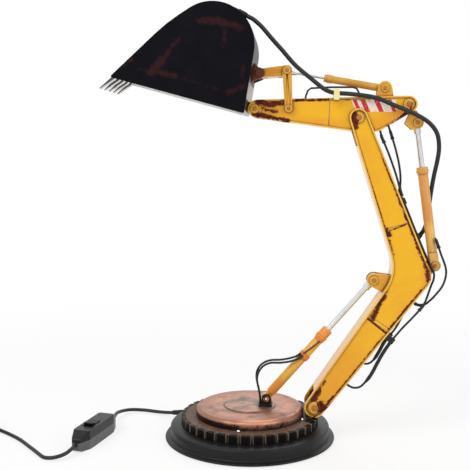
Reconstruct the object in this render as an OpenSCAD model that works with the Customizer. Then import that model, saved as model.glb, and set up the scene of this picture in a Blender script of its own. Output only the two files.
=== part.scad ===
// Excavator table lamp: a digger's base, boom and arm that carry a bucket-shaped shade.
// Millimetres, +Z up. The arm's plane is XZ, and the base's axis is the Z axis.

/* [Base] */
// Diameter of the flange that the base stands on
foot_d = 177; // [160:1:200]
// Diameter of the base body above its flange
body_d = 166; // [150:1:170]
// Height of the top of the base casting
base_h = 16; // [12:0.5:24]
// Thickness of the felt pad under the base
felt_t = 0.8; // [0.6:0.1:2]
// Diameter over the teeth of the ring
ring_d = 143; // [130:1:150]
// Height of the toothed ring
ring_t = 8.3; // [5:0.1:12]
// Number of teeth on the ring
tooth_n = 36; // [24:1:48]
// Width of one tooth
tooth_w = 10.2; // [7:0.1:10.6]
// Diameter of the copper drum
drum_d = 112; // [100:1:116]
// Height of the copper drum
drum_h = 9.3; // [6:0.1:14]
// Diameter of the raised step on the drum
step_d = 52; // [44:1:70]
// Height of the raised step on the drum
step_h = 0.8; // [0.4:0.1:1.5]

/* [Boom] */
// Width of the boom over its flange
boom_w = 30; // [26:0.5:36]
// Radius of the boom's foot end
boom_foot_r = 10.5; // [9:0.5:13]
// Radius of the boom's elbow
boom_elbow_r = 16.5; // [13:0.5:20]
// Radius of the boom's top end
boom_top_r = 9; // [7.5:0.5:11]
// Radius of the hollow curve in front of the elbow
boom_hollow_r = 40; // [25:1:60]
// Thickness of the sheet in the boom and the arm
sheet_t = 1.6; // [1.2:0.1:2]
// Depth of the side plates below the flange edges
plate_inset = 1.5; // [0.8:0.1:2.5]

/* [Arm] */
// Width of the arm over its flange
arm_w = 23; // [20:0.5:26]
// Radius of the arm's tip end
arm_tip_r = 9; // [7.5:0.1:9.4]
// Radius of the arm's rear end
arm_rear_r = 8.2; // [7:0.1:10]
// Radius of the two round bosses at the tip
tip_boss_r = 7; // [6:0.1:7.5]
// Height that each tip boss stands out of the flange
tip_boss_out = 0.9; // [0.4:0.1:2]

/* [Cylinders] */
// Outside radius of the lift barrel
lift_r = 4.9; // [4:0.1:6]
// Radius of the lift rod
lift_rod_r = 2.8; // [2:0.1:3.2]
// Outside radius of the arm cylinder's barrel
stick_r = 5; // [4:0.1:6]
// Radius of the arm cylinder's rod
stick_rod_r = 2.7; // [2:0.1:3.2]
// Outside radius of the bucket cylinder's barrel
bucket_r = 3.9; // [3.2:0.1:4.5]
// Radius of the bucket cylinder's rod
bucket_rod_r = 1.5; // [1.2:0.1:2]

/* [Shade] */
// Width of the shade over its side panels
shade_w = 90; // [70:1:110]
// Thickness of the shade's sheet
shade_t = 1.2; // [0.8:0.1:1.6]
// Radius of the shade's round top
shade_top_r = 40.9; // [36:0.1:44]
// Number of teeth on the lip
shade_teeth_n = 5; // [3:1:7]
// Width of one tooth on the lip
shade_tooth_w = 9; // [6:0.5:12]
// Length that a tooth stands out of the lip
shade_tooth_out = 17.5; // [12:0.5:22]

/* [Cords] */
// Diameter of the mains cord
cord_d = 3.8; // [3.4:0.1:3.9]
// Diameter of the lamp lead along the arm
lead_d = 4.4; // [3.6:0.1:5]
// Diameter of the thin hoses
hose_d = 2.2; // [1.6:0.1:2.6]
// Turns that the cord's coil makes in each layer
coil_turns = 2.25; // [1.25:0.5:3.25]
// Least radius of the cord's coil
coil_r = 17; // [16:0.5:20]

/* [Fits] */
// Play of a pin or rod in its bore, on the radius
run_fit = 0.05; // [0.02:0.01:0.1]
// Gap between faces that move past each other
side_gap = 0.3; // [0.2:0.05:0.5]
// Gap that an eye leaves about its pin where two chains of parts meet
lift_eye_gap = 1; // [0.9:0.05:1.3]
// The same gap at the arm cylinder's rod eye
stick_eye_gap = 1.7; // [1.6:0.05:2]
// The same gap at the bucket cylinder's rod eye and at the link's shade end
bucket_eye_gap = 1.1; // [1:0.05:1.3]

/* [Hidden] */
$fn = 64;

// Heights of the stack on the base
ring_z = base_h;
drum_z = ring_z + ring_t;
deck_z = drum_z + drum_h + step_h;

// Pivots in the arm's plane, as X and Z
boom_foot = [67.5, drum_z + 12.2];
boom_elbow = [166, 174];
boom_top = [108, 332];
lift_foot = [17.5, deck_z + 8.1];
lift_eye = [126.5, 168.5];
arm_cyl_foot = [187, 184];
arm_cyl_eye = [166.5, 327];
shade_pivot = [5, 341];
rocker_foot = [39, 341];
rocker_top = [37, 378.5];
link_eye = [9, 376];
bucket_foot = [134, 361];

// Half widths across the arm's plane
boom_in = boom_w / 2 - plate_inset - sheet_t + 0.1;
boom_out = boom_w / 2 - plate_inset;
arm_half = arm_w / 2;
arm_out = arm_half - 1.2;
arm_in = arm_out - 1.3;
eye_half = 4;
ear_in = eye_half + side_gap + 0.2;
ear_out = ear_in + 2.5;
rocker_in = arm_half + 0.6;
rocker_out = rocker_in + 2.5;
shade_in = shade_w / 2 - shade_t;
tip_slot = 6.4;

// Radii of the pins
foot_pin_r = 3.5;
base_pin_r = 2.1;
top_pin_r = 3.5;
lift_pin_r = 3;
cyl_pin_r = 2.75;
small_pin_r = 2.5;
link_pin_r = 2;

// Plane geometry
function unit(v) = v / norm(v);
function perp(v) = [-v[1], v[0]];
function angle_of(v) = atan2(v[1], v[0]);
function polar(r, a) = r * [cos(a), sin(a)];

// Normal of the line that touches two circles on one side: each circle is a centre and a radius.
function tangent_normal(a, b, side) =
    let (d = b[0] - a[0], s = (a[1] - b[1]) / norm(d), u = unit(d))
    u * s + side * perp(u) * sqrt(1 - s * s);

// Points of an arc that turns left from angle a0 to angle a1.
function arc_points(c, r, a0, a1) =
    let (sweep = (a1 - a0 + 720) % 360, n = max(1, ceil(sweep / 6)))
    [for (k = [0 : n]) c + polar(r, a0 + sweep * k / n)];

// Outline of a belt round circles that are listed leftwards, drawn in by an inset.
function belt_points(list, inset) =
    let (n = len(list))
    [for (i = [0 : n - 1])
        let (a = list[(i + n - 1) % n], b = list[i], c = list[(i + 1) % n])
        each arc_points(b[0], b[1] - inset, angle_of(tangent_normal(a, b, -1)),
                        angle_of(tangent_normal(b, c, -1)))];

// Boom: two tapered lengths with a round elbow behind and a hollow curve in front.
boom_f = [boom_foot, boom_foot_r];
boom_e = [boom_elbow, boom_elbow_r];
boom_t = [boom_top, boom_top_r];
low_back = tangent_normal(boom_f, boom_e, -1);
low_front = tangent_normal(boom_f, boom_e, 1);
top_back = tangent_normal(boom_e, boom_t, -1);
top_front = tangent_normal(boom_e, boom_t, 1);
hollow_c = boom_elbow
    + (low_front + top_front) * (boom_hollow_r + boom_elbow_r) / (1 + low_front * top_front);

function boom_points(inset) = concat(
    arc_points(boom_foot, boom_foot_r - inset, angle_of(low_front), angle_of(low_back)),
    arc_points(boom_elbow, boom_elbow_r - inset, angle_of(low_back), angle_of(top_back)),
    arc_points(boom_top, boom_top_r - inset, angle_of(top_back), angle_of(top_front)),
    [for (k = [0 : 10])
        let (a0 = angle_of(top_front), a1 = angle_of(low_front))
        hollow_c - polar(boom_hollow_r + inset, a0 + ((a1 - a0 + 540) % 360 - 180) * k / 10)]
);

// A place on the boom's back: s is measured from the elbow, up or down, and off from the flange.
function back_up(s, off) = boom_elbow + top_back * (boom_elbow_r + off) + perp(top_back) * s;
function back_low(s, off) = boom_elbow + low_back * (boom_elbow_r + off) - perp(low_back) * s;

// Arm and shade outlines, each a belt round circles
arm_belt = [
    [[7.5, 341], arm_tip_r], [[102, 323], 4.2], [[127, 322.6], 4.2], [[157.3, 345], arm_rear_r]
];
shade_top = [[-34.3, 400.1], shade_top_r];
shade_front = [shade_top[0] + polar(160.6 - shade_top_r, -63.7), 160];
shade_lip = [[-131, 371.1], 1.5];
shade_heel = [[-5, 336.9], 1.5];
shade_belt = [shade_top, shade_front, shade_lip, shade_heel];
front_n = tangent_normal(shade_front, shade_lip, -1);
under_n = tangent_normal(shade_lip, shade_heel, -1);
back_n = tangent_normal(shade_heel, shade_top, -1);

// A place on the shade's straight back at a height, off its outer face.
function shade_back(z, off) =
    let (p = shade_heel[0] + back_n * shade_heel[1], u = perp(back_n))
    p + u * (z - p[1]) / u[1] + back_n * off;

// A place at the lip: s runs on from the lip along the front sheet, off from its outer face.
function lip_at(s, off) =
    shade_lip[0] + front_n * (shade_lip[1] + off) + perp(front_n) * s;

// Lamp holder: its axis leaves the round top at this angle.
holder_a = 60;
holder_n = polar(1, holder_a);
holder_seat = shade_top[0] + holder_n * (shade_top_r - shade_t);
stem_r = 4;
stem_up = 4.2;

// Space curves: a smooth path through hand-set points, and a tube along a path.
function mix(a, b, c, d, t) =
    0.5 * (2 * b + (c - a) * t + (2 * a - 5 * b + 4 * c - d) * t * t
        + (3 * b - a - 3 * c + d) * t * t * t);
function smooth(p, n) =
    let (m = len(p))
    concat(
        [for (i = [0 : m - 2], k = [0 : n - 1])
            mix(p[max(i - 1, 0)], p[i], p[i + 1], p[min(i + 2, m - 1)], k / n)],
        [p[m - 1]]);
function tangent(p, i) = unit(p[min(i + 1, len(p) - 1)] - p[max(i - 1, 0)]);
function ring_points(c, t, up, r, sides) =
    let (u = unit(cross(t, up)), v = cross(t, u))
    [for (k = [0 : sides - 1]) c + r * (cos(360 * k / sides) * u + sin(360 * k / sides) * v)];
function path_length(p) = len(p) < 2 ? 0 : [for (i = [1 : len(p) - 1]) norm(p[i] - p[i - 1])]
    * [for (i = [1 : len(p) - 1]) 1];

module tube(path, d, sides, up) {
    n = len(path);
    points = [for (i = [0 : n - 1]) each ring_points(path[i], tangent(path, i), up, d / 2, sides)];
    walls = [for (i = [0 : n - 2], k = [0 : sides - 1])
        let (a = i * sides + k, b = i * sides + (k + 1) % sides)
        each [[a, a + sides, b + sides], [a, b + sides, b]]];
    start = [for (k = [1 : sides - 2]) [0, k, k + 1]];
    end = [for (k = [1 : sides - 2]) (n - 1) * sides * [1, 1, 1] + [0, k + 1, k]];
    polyhedron(points, concat(walls, start, end));
}

// A route between two ends: it leaves and meets them straight, and passes the points between.
function route(start, out, between, into, end, d) =
    concat([start], smooth(concat([start + unit(out) * d], between, [end - unit(into) * d]), 2), [end]);
function at_y(p, y) = [p[0], y, p[1]];

// Routes of the leads and hoses, in points set by hand
elbow_dir = [0.884, -0.467];
elbow_up = 4.4;
elbow_l = 9;
elbow_end = holder_seat + holder_n * elbow_up + unit(elbow_dir) * elbow_l;
clip_at = [86, -15, 356];
boot_dir = [0.6, 0.8];
boot_end = [174, 214.6];
boot_y = 6;
lead_shade_path = route(
    at_y(elbow_end, 0), at_y(elbow_dir, 0), [
        [3.4, -0.5, 429.8], [11.6, -2.6, 422.4], [22.6, -5.6, 409.4], [32, -8.2, 398.8],
        [45.6, -11, 383.2], [62.6, -13.6, 368.8], [69.6, -14.3, 363], [75.4, -14.8, 358.9]
    ], [1, 0, -0.11], clip_at, lead_d);
lead_arm_path = route(
    clip_at, [1, 0, -0.11], [
        [102, -15.4, 354.6], [123, -16, 351.4], [140, -16.6, 344.6], [156, -16.8, 338],
        [170, -15.6, 331.2], [179.6, -13, 324], [185.8, -10, 314.8], [188.2, -6, 302], [187.6, -1, 289],
        [185.4, 3.6, 274], [183.4, 7.6, 256], [181.6, 8.6, 238], [180, 7.9, 226.6]
    ], -at_y(boot_dir, 0), at_y(boot_end, boot_y), lead_d);
hose_y = 10.8;
hose_off = hose_d / 2 + 0.4;
deck_down = [0, 0, -1];
lift_hose_a = route(
    [52.7, -4.85, 90.7], [-0.866, -0.05, -0.5], [
        [47.6, -5, 87.6], [39.5, -4.4, 85], [31.8, -3.5, 83.5], [23.6, -2.4, 82.8], [16.8, -1, 80.6],
        [11.6, 0.2, 76.6], [8.2, 1.1, 71.4], [6.9, 1.6, 65.4], [7.4, 1.7, 59.4], [9, 1.7, 52.6],
        [10.4, 1.6, 46]
    ], deck_down, [11.2, 1.6, deck_z + 1.6], hose_d);
lift_hose_b = route(
    [55, -6.8, 88.75], [-0.855, -0.09, -0.51], [
        [49.8, -7.2, 85.6], [41.4, -6.8, 82.6], [31.8, -5.8, 80.9], [22.6, -4.6, 80.3],
        [16.2, -3.6, 77.8], [11.8, -2.8, 73.6], [9, -2.2, 68.4], [7.8, -1.8, 62.6], [8.4, -1.6, 56.4],
        [9.8, -1.6, 50], [10.8, -1.6, 44]
    ], deck_down, [11.2, -1.6, deck_z + 1.6], hose_d);

// Places of the hose clamps along the boom's back, and the height of the lower ones
clamp_up = 74;
clamp_low = 65.4;
clamp_off = 7.5;

// The boom's own hose routes: each runs down the back, round the elbow and then hangs off the boom.
// A hang lists places below the elbow, as their distance along the back and their height off it.
near_hang = [
    [13.4, 8.6], [20, 9.6], [36, 8.9], [48.6, 7.8], [clamp_low, clamp_off], [80, 8.6], [92.4, 10.7],
    [103, 12.9], [111, 13.8], [119, 13.5], [123, 12.7], [126.4, 10.4], [128.7, 7], [129.5, 3], [129.5, 0.1]
];
far_hang = [
    [13.4, 3.6], [20, 3.4], [36, 3.8], [48.6, 6.4], [57, 7.5], [clamp_low, clamp_off], [74, 7.6], [84, 9.4],
    [92, 10.6], [97, 10.6], [100.4, 9.9], [103.4, 8], [105.3, 5], [106, 1.7], [106, 0.1]
];
function boom_hose_path(y, hang) = smooth([
    at_y(back_up(78, hose_off), y), at_y(back_up(clamp_up, hose_off), y),
    at_y(back_up(30, hose_off), y), at_y(back_up(6, hose_off + 0.6), y),
    for (a = [10, -10, -30])
        at_y(boom_elbow + polar(boom_elbow_r + hose_off + 1.6, a), y),
    for (h = hang)
        at_y(back_low(h[0], h[1]), y)
], 2);
side_hose_path = route(
    [186.4, -6.4, 212], [0.5, -0.3, -0.8], [
        [192.4, -8.6, 196], [197.6, -10, 180], [195, -10.4, 165.6], [187.4, -8.8, 154], [181.7, -7, 147.4],
        [178.8, -6.2, 144.8], [174.9, -5.2, 143.2], [170.9, -4.4, 143.4]
    ], -at_y(low_back, 0), at_y(back_low(22, 0), -4), hose_d);
arm_hose_a = smooth([
    [130.2, -6, 318.4], [131.8, -6.2, 312.4], [134, -6.6, 307.6], [140, -7.6, 293], [146.2, -9, 275.4],
    [149.6, -10.2, 263.4], at_y(back_up(83, hose_off + 0.7), -hose_y),
    at_y(back_up(79.2, hose_off), -hose_y)
], 2);
arm_hose_b = smooth([
    [140.2, 6, 322], [142, 6.2, 316.8], [143.6, 6.4, 312], [147, 7, 301.4], [150.6, 8, 287.6],
    [152.6, 9, 275.4], [153, 10, 266.4], [152.4, 10.6, 259.4], at_y(back_up(79.2, hose_off), hose_y)
], 2);

// Mains cord: from the gland through the inline switch to a coil and the plug
gland_a = 150;
gland_z = 10;
gland_l = 20;
gland_tilt = 11;
switch_c = [-160.2, -23.8];
switch_turn = -13.6;
switch_half = 40;
switch_z = 8;
function at_switch(x, y, z) =
    let (u = polar(1, 90 + switch_turn), v = perp(u))
    [each (switch_c + u * x + v * y), z];
gland_dir = [each polar(cos(gland_tilt), gland_a), -sin(gland_tilt)];
gland_start = [each polar(body_d / 2, gland_a), gland_z];
switch_dir = at_switch(1, 0, 0) - at_switch(0, 0, 0);
lead_path = route(
    gland_start + gland_dir * gland_l, gland_dir, [
        [-99, 57.2, 4.2], [-110, 63.2, 2.9], [-121, 67, 2.8], [-131, 67.4, 3.2], [-139.6, 63.4, 4.4],
        [-146, 56, 5.6], [-149.6, 46.6, 7], [-151, 36, 8]
    ], -switch_dir, at_switch(switch_half, 0, switch_z), cord_d);
coil_c = [-304, -18];
coil_step = 4.8;
coil_rise = 4.6;
coil_low = cord_d / 2 + 1;
coil_layers = 4;
coil_start = 55;
coil_out = coil_r + coil_step * coil_turns;

// One layer turns steadily in or out, and the half turn after it climbs to the next layer.
coil_layer_turns = coil_turns + 0.5;
coil_all = coil_layers * coil_turns + (coil_layers - 1) * 0.5;
function coil_at(t) =
    let (layer = min(floor(t / coil_layer_turns), coil_layers - 1),
         s = t - layer * coil_layer_turns,
         part = min(s / coil_turns, 1),
         climb = max(s - coil_turns, 0) / 0.5,
         r = layer % 2 == 0 ? coil_out - coil_step * coil_turns * part
                            : coil_r + coil_step * coil_turns * part,
         a = coil_start + 360 * t)
    [coil_c[0] + r * cos(a), coil_c[1] + r * sin(a), coil_low + coil_rise * (layer + climb)];
coil_rings = round(24 * coil_all);
coil_loops = [for (i = [0 : coil_rings]) coil_at(coil_all * i / coil_rings)];

// The coil's loops run on to the plug, which lies in front of them.
plug_at = [-291.4, -84.5];
plug_turn = -74;
plug_h = 13.7;
plug_l = 36;
function at_plug(x, y, z) =
    let (u = polar(1, plug_turn)) [each (plug_at + u * x + perp(u) * y), z];
plug_dir = at_plug(1, 0, 0) - at_plug(0, 0, 0);
coil_path = concat([for (i = [0 : coil_rings - 1]) coil_loops[i]], smooth([
    coil_loops[coil_rings], [-313, -47.2, 16.2], [-306.6, -54.2, 14.2], [-301, -61.8, 11.4],
    [-296.6, -69.8, 8.8], [-293.8, -76.6, 7.3], at_plug(-cord_d, 0, plug_h / 2)
], 2), [at_plug(0, 0, plug_h / 2)]);
coil_dir = coil_loops[1] - coil_loops[0];
tail_path = route(
    at_switch(-switch_half, 0, switch_z), -switch_dir, [
        [-171.9, -72.4, 7.2], [-175.1, -78.8, 5.6], [-180.4, -82.8, 4.2], [-187, -84.3, 3],
        [-193.6, -82.8, 2.2], [-198.9, -78.8, 1.9], [-208, -67.9, 1.9], [-221, -52.4, 1.9],
        [-236, -35, 1.9], [-252, -20.2, 1.9], [-265, -9.8, 1.9], [-276, -2.4, 2.4]
    ], coil_dir, coil_loops[0], cord_d);

// Least gap of the coil to itself, on its points: rings less than half a turn apart don't count.
coil_gap = min([for (i = [0 : 2 : coil_rings - 13], j = [i + 12 : coil_rings])
    norm(coil_loops[i] - coil_loops[j])]) - cord_d;
echo(coil_gap = coil_gap);
echo(cord_length = path_length(lead_path) + path_length(tail_path) + path_length(coil_path)
    + 2 * switch_half);

// Colours of the parts
paint = [0.94, 0.70, 0.16];
barrel_paint = [0.95, 0.74, 0.36];
black = [0.09, 0.09, 0.1];
steel = [0.72, 0.73, 0.74];
copper = [0.72, 0.42, 0.3];
iron = [0.2, 0.2, 0.21];

// Shared shapes

// A plate in the arm's plane: its outline is drawn in X and Z, from y0 to y1.
module plate(y0, y1) {
    translate([0, y1, 0])
        rotate([90, 0, 0])
            linear_extrude(y1 - y0)
                children();
}

// The same plate on both sides of the arm's plane.
module plate_pair(y0, y1) {
    plate(y0, y1) children();
    plate(-y1, -y0) children();
}

// A round bar across the arm's plane.
module cross_bar(at, r, y0, y1) {
    translate([at[0], y1, at[1]])
        rotate([90, 0, 0])
            cylinder(r = r, h = y1 - y0);
}

// A pin across the arm's plane with a chamfered head at each end.
module pin(at, r, half, head_r, head_h) {
    c = head_h * 0.35;
    top = half + head_h;
    translate([at[0], 0, at[1]])
        rotate([90, 0, 0])
            rotate_extrude()
                polygon([
                    [0, -top], [head_r - c, -top], [head_r, c - top], [head_r, -half], [r, -half],
                    [r, half], [head_r, half], [head_r, top - c], [head_r - c, top], [0, top]
                ]);
}

// Turns a cylinder's parts so that they run along X from its foot pin to its eye pin.
module along(foot, eye) {
    translate([foot[0], 0, foot[1]])
        rotate([0, -angle_of(eye - foot), 0])
            children();
}

// A round length along X.
module round_x(x0, x1, r) {
    translate([x0, 0, 0])
        rotate([0, 90, 0])
            cylinder(r = r, h = x1 - x0);
}

// An eye across X, without its bore.
module eye_blank(x, r, half) {
    translate([x, half, 0])
        rotate([90, 0, 0])
            cylinder(r = r, h = 2 * half);
}

module eye_bore(x, r) {
    eye_blank(x, r, 40);
}

// An ear from a round head to two corners, with its bore.
module ear_2d(at, r, bore, corners) {
    difference() {
        polygon(belt_points(concat([[at, r]], [for (c = corners) [c, 0.6]]), 0));
        translate(at) circle(r = bore);
    }
}

// Base

module base_casting() {
    color(iron)
        difference() {
            rotate_extrude($fn = 160)
                polygon([
                    [0, felt_t], [foot_d / 2 - 0.7, felt_t], [foot_d / 2, felt_t + 0.6],
                    [foot_d / 2, felt_t + 1.5], [foot_d / 2 - 0.7, felt_t + 2],
                    [body_d / 2 + 1.2, felt_t + 2.3], [body_d / 2, felt_t + 3.4],
                    [body_d / 2, base_h - 3], [body_d / 2 - 0.5, base_h - 2],
                    [body_d / 2 - 2, base_h - 1.3], [ring_d / 2 + 0.6, base_h], [0, base_h]
                ]);
            translate([0, 0, -1]) cylinder(r = 4.2, h = 40);
            translate([0, 0, felt_t - 1]) cylinder(r = 9, h = 7);
        }
}

module base_pad() {
    color([0.15, 0.15, 0.16])
        cylinder(r = foot_d / 2 - 2.5, h = felt_t, $fn = 160);
}

module gear_ring() {
    root = ring_d / 2 - 5.2;
    half = tooth_w / 2;
    corner = 2.2;
    color(black)
        translate([0, 0, ring_z])
            linear_extrude(ring_t)
                difference() {
                    union() {
                        circle(r = root, $fn = 160);
                        for (i = [0 : tooth_n - 1])
                            rotate(i * 360 / tooth_n)
                                polygon(concat(
                                    [[root - 3, half], [root - 3, -half]],
                                    [for (a = [-90 : 30 : 0])
                                        [ring_d / 2 - corner, corner - half] + polar(corner, a)],
                                    [for (a = [0 : 30 : 90])
                                        [ring_d / 2 - corner, half - corner] + polar(corner, a)]
                                ));
                    }
                    circle(r = 4.2);
                }
}

module turret_drum() {
    r = drum_d / 2;
    wall = 1.4;
    round_r = 4.6;
    color(copper)
        translate([0, 0, drum_z])
            rotate_extrude($fn = 160)
                polygon(concat(
                    [[r - wall, 0], [r, 0]],
                    arc_points([r - round_r, drum_h - round_r], round_r, 0, 90),
                    [
                        [r - round_r - 3, drum_h - 0.4], [step_d / 2 + 1, drum_h - 0.4],
                        [step_d / 2, drum_h + step_h], [0, drum_h + step_h],
                        [0, drum_h - wall - 0.6], [r - round_r, drum_h - wall - 0.6],
                        [r - wall, drum_h - round_r]
                    ]
                ));
}

module stack_bolt() {
    color(steel) {
        translate([0, 0, felt_t + 0.5])
            union() {
                cylinder(r = 7.5, h = 5.5, $fn = 6);
                cylinder(r = 4, h = drum_z - felt_t + 5.5);
            }
        translate([0, 0, drum_z])
            difference() {
                cylinder(r = 7.5, h = 5.4, $fn = 6);
                translate([0, 0, -1]) cylinder(r = 4, h = 10);
            }
    }
}

module lift_bracket() {
    x = lift_foot[0];
    color(black) {
        translate([x - 8, -ear_out - 1, deck_z])
            cube([14, 2 * ear_out + 2, 1.6]);
        plate_pair(ear_in, ear_out)
            ear_2d(lift_foot, 4.6, base_pin_r, [[x - 4.6, deck_z + 1.4], [x + 4.6, deck_z + 1.4]]);
    }
}

module boom_foot_bracket() {
    half = boom_in - 0.5;
    z = drum_z;
    color(black)
        difference() {
            union() {
                plate(-half, half)
                    polygon(belt_points([[boom_foot, 8], [[59.2, z + 0.8], 0.8],
                                         [[68.4, z + 0.8], 0.8]], 0));
                translate([57.4, -22.4, z]) cube([9, 44.8, 1.3]);
                for (y = [-18.8, 18.8])
                    translate([61.6, y, z]) cylinder(r = 2.9, h = 3.4, $fn = 6);
            }
            cross_bar(boom_foot, foot_pin_r, -30, 30);
        }
}

module base_pins() {
    color(copper) {
        pin(boom_foot, foot_pin_r, boom_out + 0.1, 6.4, 2.6);
        pin(lift_foot, base_pin_r, ear_out, 3, 1.4);
    }
}

module cord_gland() {
    color(black)
        difference() {
            translate(gland_start - gland_dir * 3)
                rotate([0, 90 + gland_tilt, gland_a])
                    cylinder(r1 = 3.4, r2 = 2.6, h = gland_l + 3);
            cylinder(r = body_d / 2 + 0.05, h = 40, $fn = 160);
        }
}

// Mains cord

module cord_lead() {
    color(black) tube(lead_path, cord_d, 8, [0, 0, 1]);
}

module cord_tail() {
    color(black) tube(tail_path, cord_d, 8, [0, 0, 1]);
}

module cord_coil() {
    color(black) tube(coil_path, cord_d, 6, [0, 0, 1]);
}

module cord_tie() {
    in = coil_r - cord_d / 2 - 0.5;
    out = coil_out + cord_d / 2 + 0.5;
    top = coil_low + coil_rise * (coil_layers - 1) + cord_d / 2 + 0.4;
    color([0.2, 0.2, 0.2])
        translate([each coil_c, 0])
            rotate(150)
                plate(-3, 3)
                    difference() {
                        translate([in - 0.8, 0]) square([out - in + 1.6, top + 0.8]);
                        translate([in, 0.8]) square([out - in, top - 0.8]);
                    }
}

module switch_place() {
    translate([each switch_c, 0])
        rotate(90 + switch_turn)
            children();
}

// The switch body lies along X: its plan tapers to the cord at both ends, and its top slopes there.
module switch_body() {
    intersection() {
        linear_extrude(30)
            polygon(belt_points([
                [[26, 7], 2], [[-26, 7], 2], [[-38.5, 3.5], 1.5], [[-38.5, -3.5], 1.5],
                [[-26, -7], 2], [[26, -7], 2], [[38.5, -3.5], 1.5], [[38.5, 3.5], 1.5]
            ], 0));
        plate(-20, 20)
            polygon(belt_points([
                [[-37, 4], 3], [[-20, 2], 2], [[20, 2], 2], [[37, 4], 3],
                [[37, 12], 3], [[28, 17], 2.5], [[-28, 17], 2.5], [[-37, 12], 3]
            ], 0));
    }
}

rocker_x = -6;
rocker_z = 15.4;

module switch_lower() {
    color(iron)
        switch_place()
            intersection() {
                switch_body();
                translate([-50, -20, -1]) cube([100, 40, 11]);
            }
}

module switch_upper() {
    color(black)
        switch_place()
            difference() {
                switch_body();
                translate([-50, -20, -1]) cube([100, 40, 11]);
                translate([rocker_x - 10.4, -5.4, 5]) cube([20.8, 10.8, 20]);
                translate([rocker_x, 0, 0]) cross_bar([0, rocker_z], 1.5 + run_fit, -6.8, 6.8);
            }
}

module switch_rocker() {
    color(black)
        switch_place()
            translate([rocker_x, 0, 0]) {
                plate(-5, 5)
                    polygon(concat(
                        arc_points([0, rocker_z], 4.4, 200, 340),
                        [[7.6, 19.6], [7.2, 20.6], [0, 20], [-7.2, 22.8], [-7.8, 22]]
                    ));
                cross_bar([0, rocker_z], 1.5, -6.6, 6.6);
            }
}

module plug_body() {
    color(black)
        translate([each plug_at, 0])
            rotate(plug_turn)
                linear_extrude(plug_h)
                    polygon(belt_points([
                        [[1, 3], 1], [[1, -3], 1], [[12, -8], 2], [[plug_l - 2, -10.6], 2],
                        [[plug_l - 2, 10.6], 2], [[12, 8], 2]
                    ], 0));
}

module plug_pins() {
    color(steel)
        translate([each plug_at, plug_h / 2])
            rotate(plug_turn)
                for (y = [-9.3, 9.3])
                    translate([0, y, 0])
                        round_x(plug_l, plug_l + 19, 2);
}

// Boom

module boom_2d(inset) {
    polygon(boom_points(inset));
}

// A half plane below a line across the boom: at is on the boom's axis, dir points up the boom.
module below(at, dir) {
    translate(at)
        rotate(angle_of(dir) - 90)
            translate([-60, -120]) square([120, 120]);
}

foot_dir = unit(boom_elbow - boom_foot);
top_dir = unit(boom_top - boom_elbow);
foot_throat = boom_foot + foot_dir * 13.5;
top_throat = boom_top - top_dir * 26;

module boom_band() {
    color(paint) {
        plate(-boom_w / 2, -boom_in)
            difference() {
                boom_2d(0);
                boom_2d(sheet_t);
            }
        plate(boom_in, boom_w / 2)
            difference() {
                boom_2d(0);
                boom_2d(sheet_t);
            }
        plate(-boom_in, boom_in)
            difference() {
                boom_2d(0);
                below(foot_throat, foot_dir);
                below(top_throat, -top_dir);
                difference() {
                    boom_2d(sheet_t);
                    below(foot_throat + foot_dir * sheet_t, foot_dir);
                    below(top_throat - top_dir * sheet_t, -top_dir);
                }
            }
    }
}

// A shallow seam across a side plate, drawn on its outer face.
module seam(a, b, w) {
    u = unit(b - a) * 30;
    n = perp(unit(b - a)) * w / 2;
    polygon([a - u - n, b + u - n, b + u + n, a - u + n]);
}

module boom_plate_2d() {
    difference() {
        boom_2d(sheet_t);
        translate(boom_foot) circle(r = foot_pin_r + run_fit);
        translate(boom_top) circle(r = top_pin_r);
    }
}

module boom_seams_2d() {
    seam([119.3, 131.4], [142.5, 115.4], 0.9);
    seam([121.3, 134.2], [144.5, 118.2], 0.9);
    seam([137.5, 221.8], [159, 227.9], 0.9);
}

module boom_near_plate() {
    color(paint) {
        plate(-boom_out + 0.4, -boom_in) boom_plate_2d();
        plate(-boom_out, -boom_out + 0.4)
            difference() {
                boom_plate_2d();
                boom_seams_2d();
            }
    }
}

module boom_far_plate() {
    color(paint) {
        plate(boom_in, boom_out - 0.4) boom_plate_2d();
        plate(boom_out - 0.4, boom_out)
            difference() {
                boom_plate_2d();
                boom_seams_2d();
            }
    }
}

module boom_lugs() {
    color(paint) {
        plate_pair(ear_in, ear_out)
            difference() {
                ear_2d(lift_eye, 7, lift_pin_r, [[138, 155], [152, 160], [150, 172]]);
                boom_2d(0);
            }
        plate(-3.6, 3.6)
            difference() {
                ear_2d(arm_cyl_foot, 5.4, cyl_pin_r, [[170, 190], [170, 172], [179, 172]]);
                boom_2d(0);
            }
    }
}

module boom_pins() {
    color(copper) {
        pin(lift_eye, lift_pin_r, ear_out, 4.6, 1.6);
        pin(arm_cyl_foot, cyl_pin_r, 6.6, 4, 1.4);
        pin(boom_top, top_pin_r, boom_out, 5.5, 2);
    }
}

module boom_cable_fittings() {
    color(black) {
        difference() {
            translate([boot_end[0], boot_y, boot_end[1]])
                rotate([0, -angle_of(-boot_dir), 0])
                    rotate([0, 90, 0])
                        cylinder(r1 = 2.6, r2 = 3.4, h = 16);
            plate(-20, 20) boom_2d(0);
        }
        for (y = [-hose_y, hose_y]) {
            hose_clamp(back_up(clamp_up, 0), top_back, y, hose_off);
            hose_clamp(back_low(clamp_low, 0), low_back, y, clamp_off);
        }
    }
}

// A saddle on the boom's back over one hose, which lies at a height off the back.
module hose_clamp(at, n, y, off) {
    translate([at[0], y, at[1]])
        rotate([0, -angle_of(n), 0])
            difference() {
                translate([0, -2.6, -3]) cube([off + hose_d / 2 + 1, 5.2, 6]);
                translate([off, 0, -5]) cylinder(r = hose_d / 2 + 0.1, h = 10, $fn = 24);
            }
}

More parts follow.
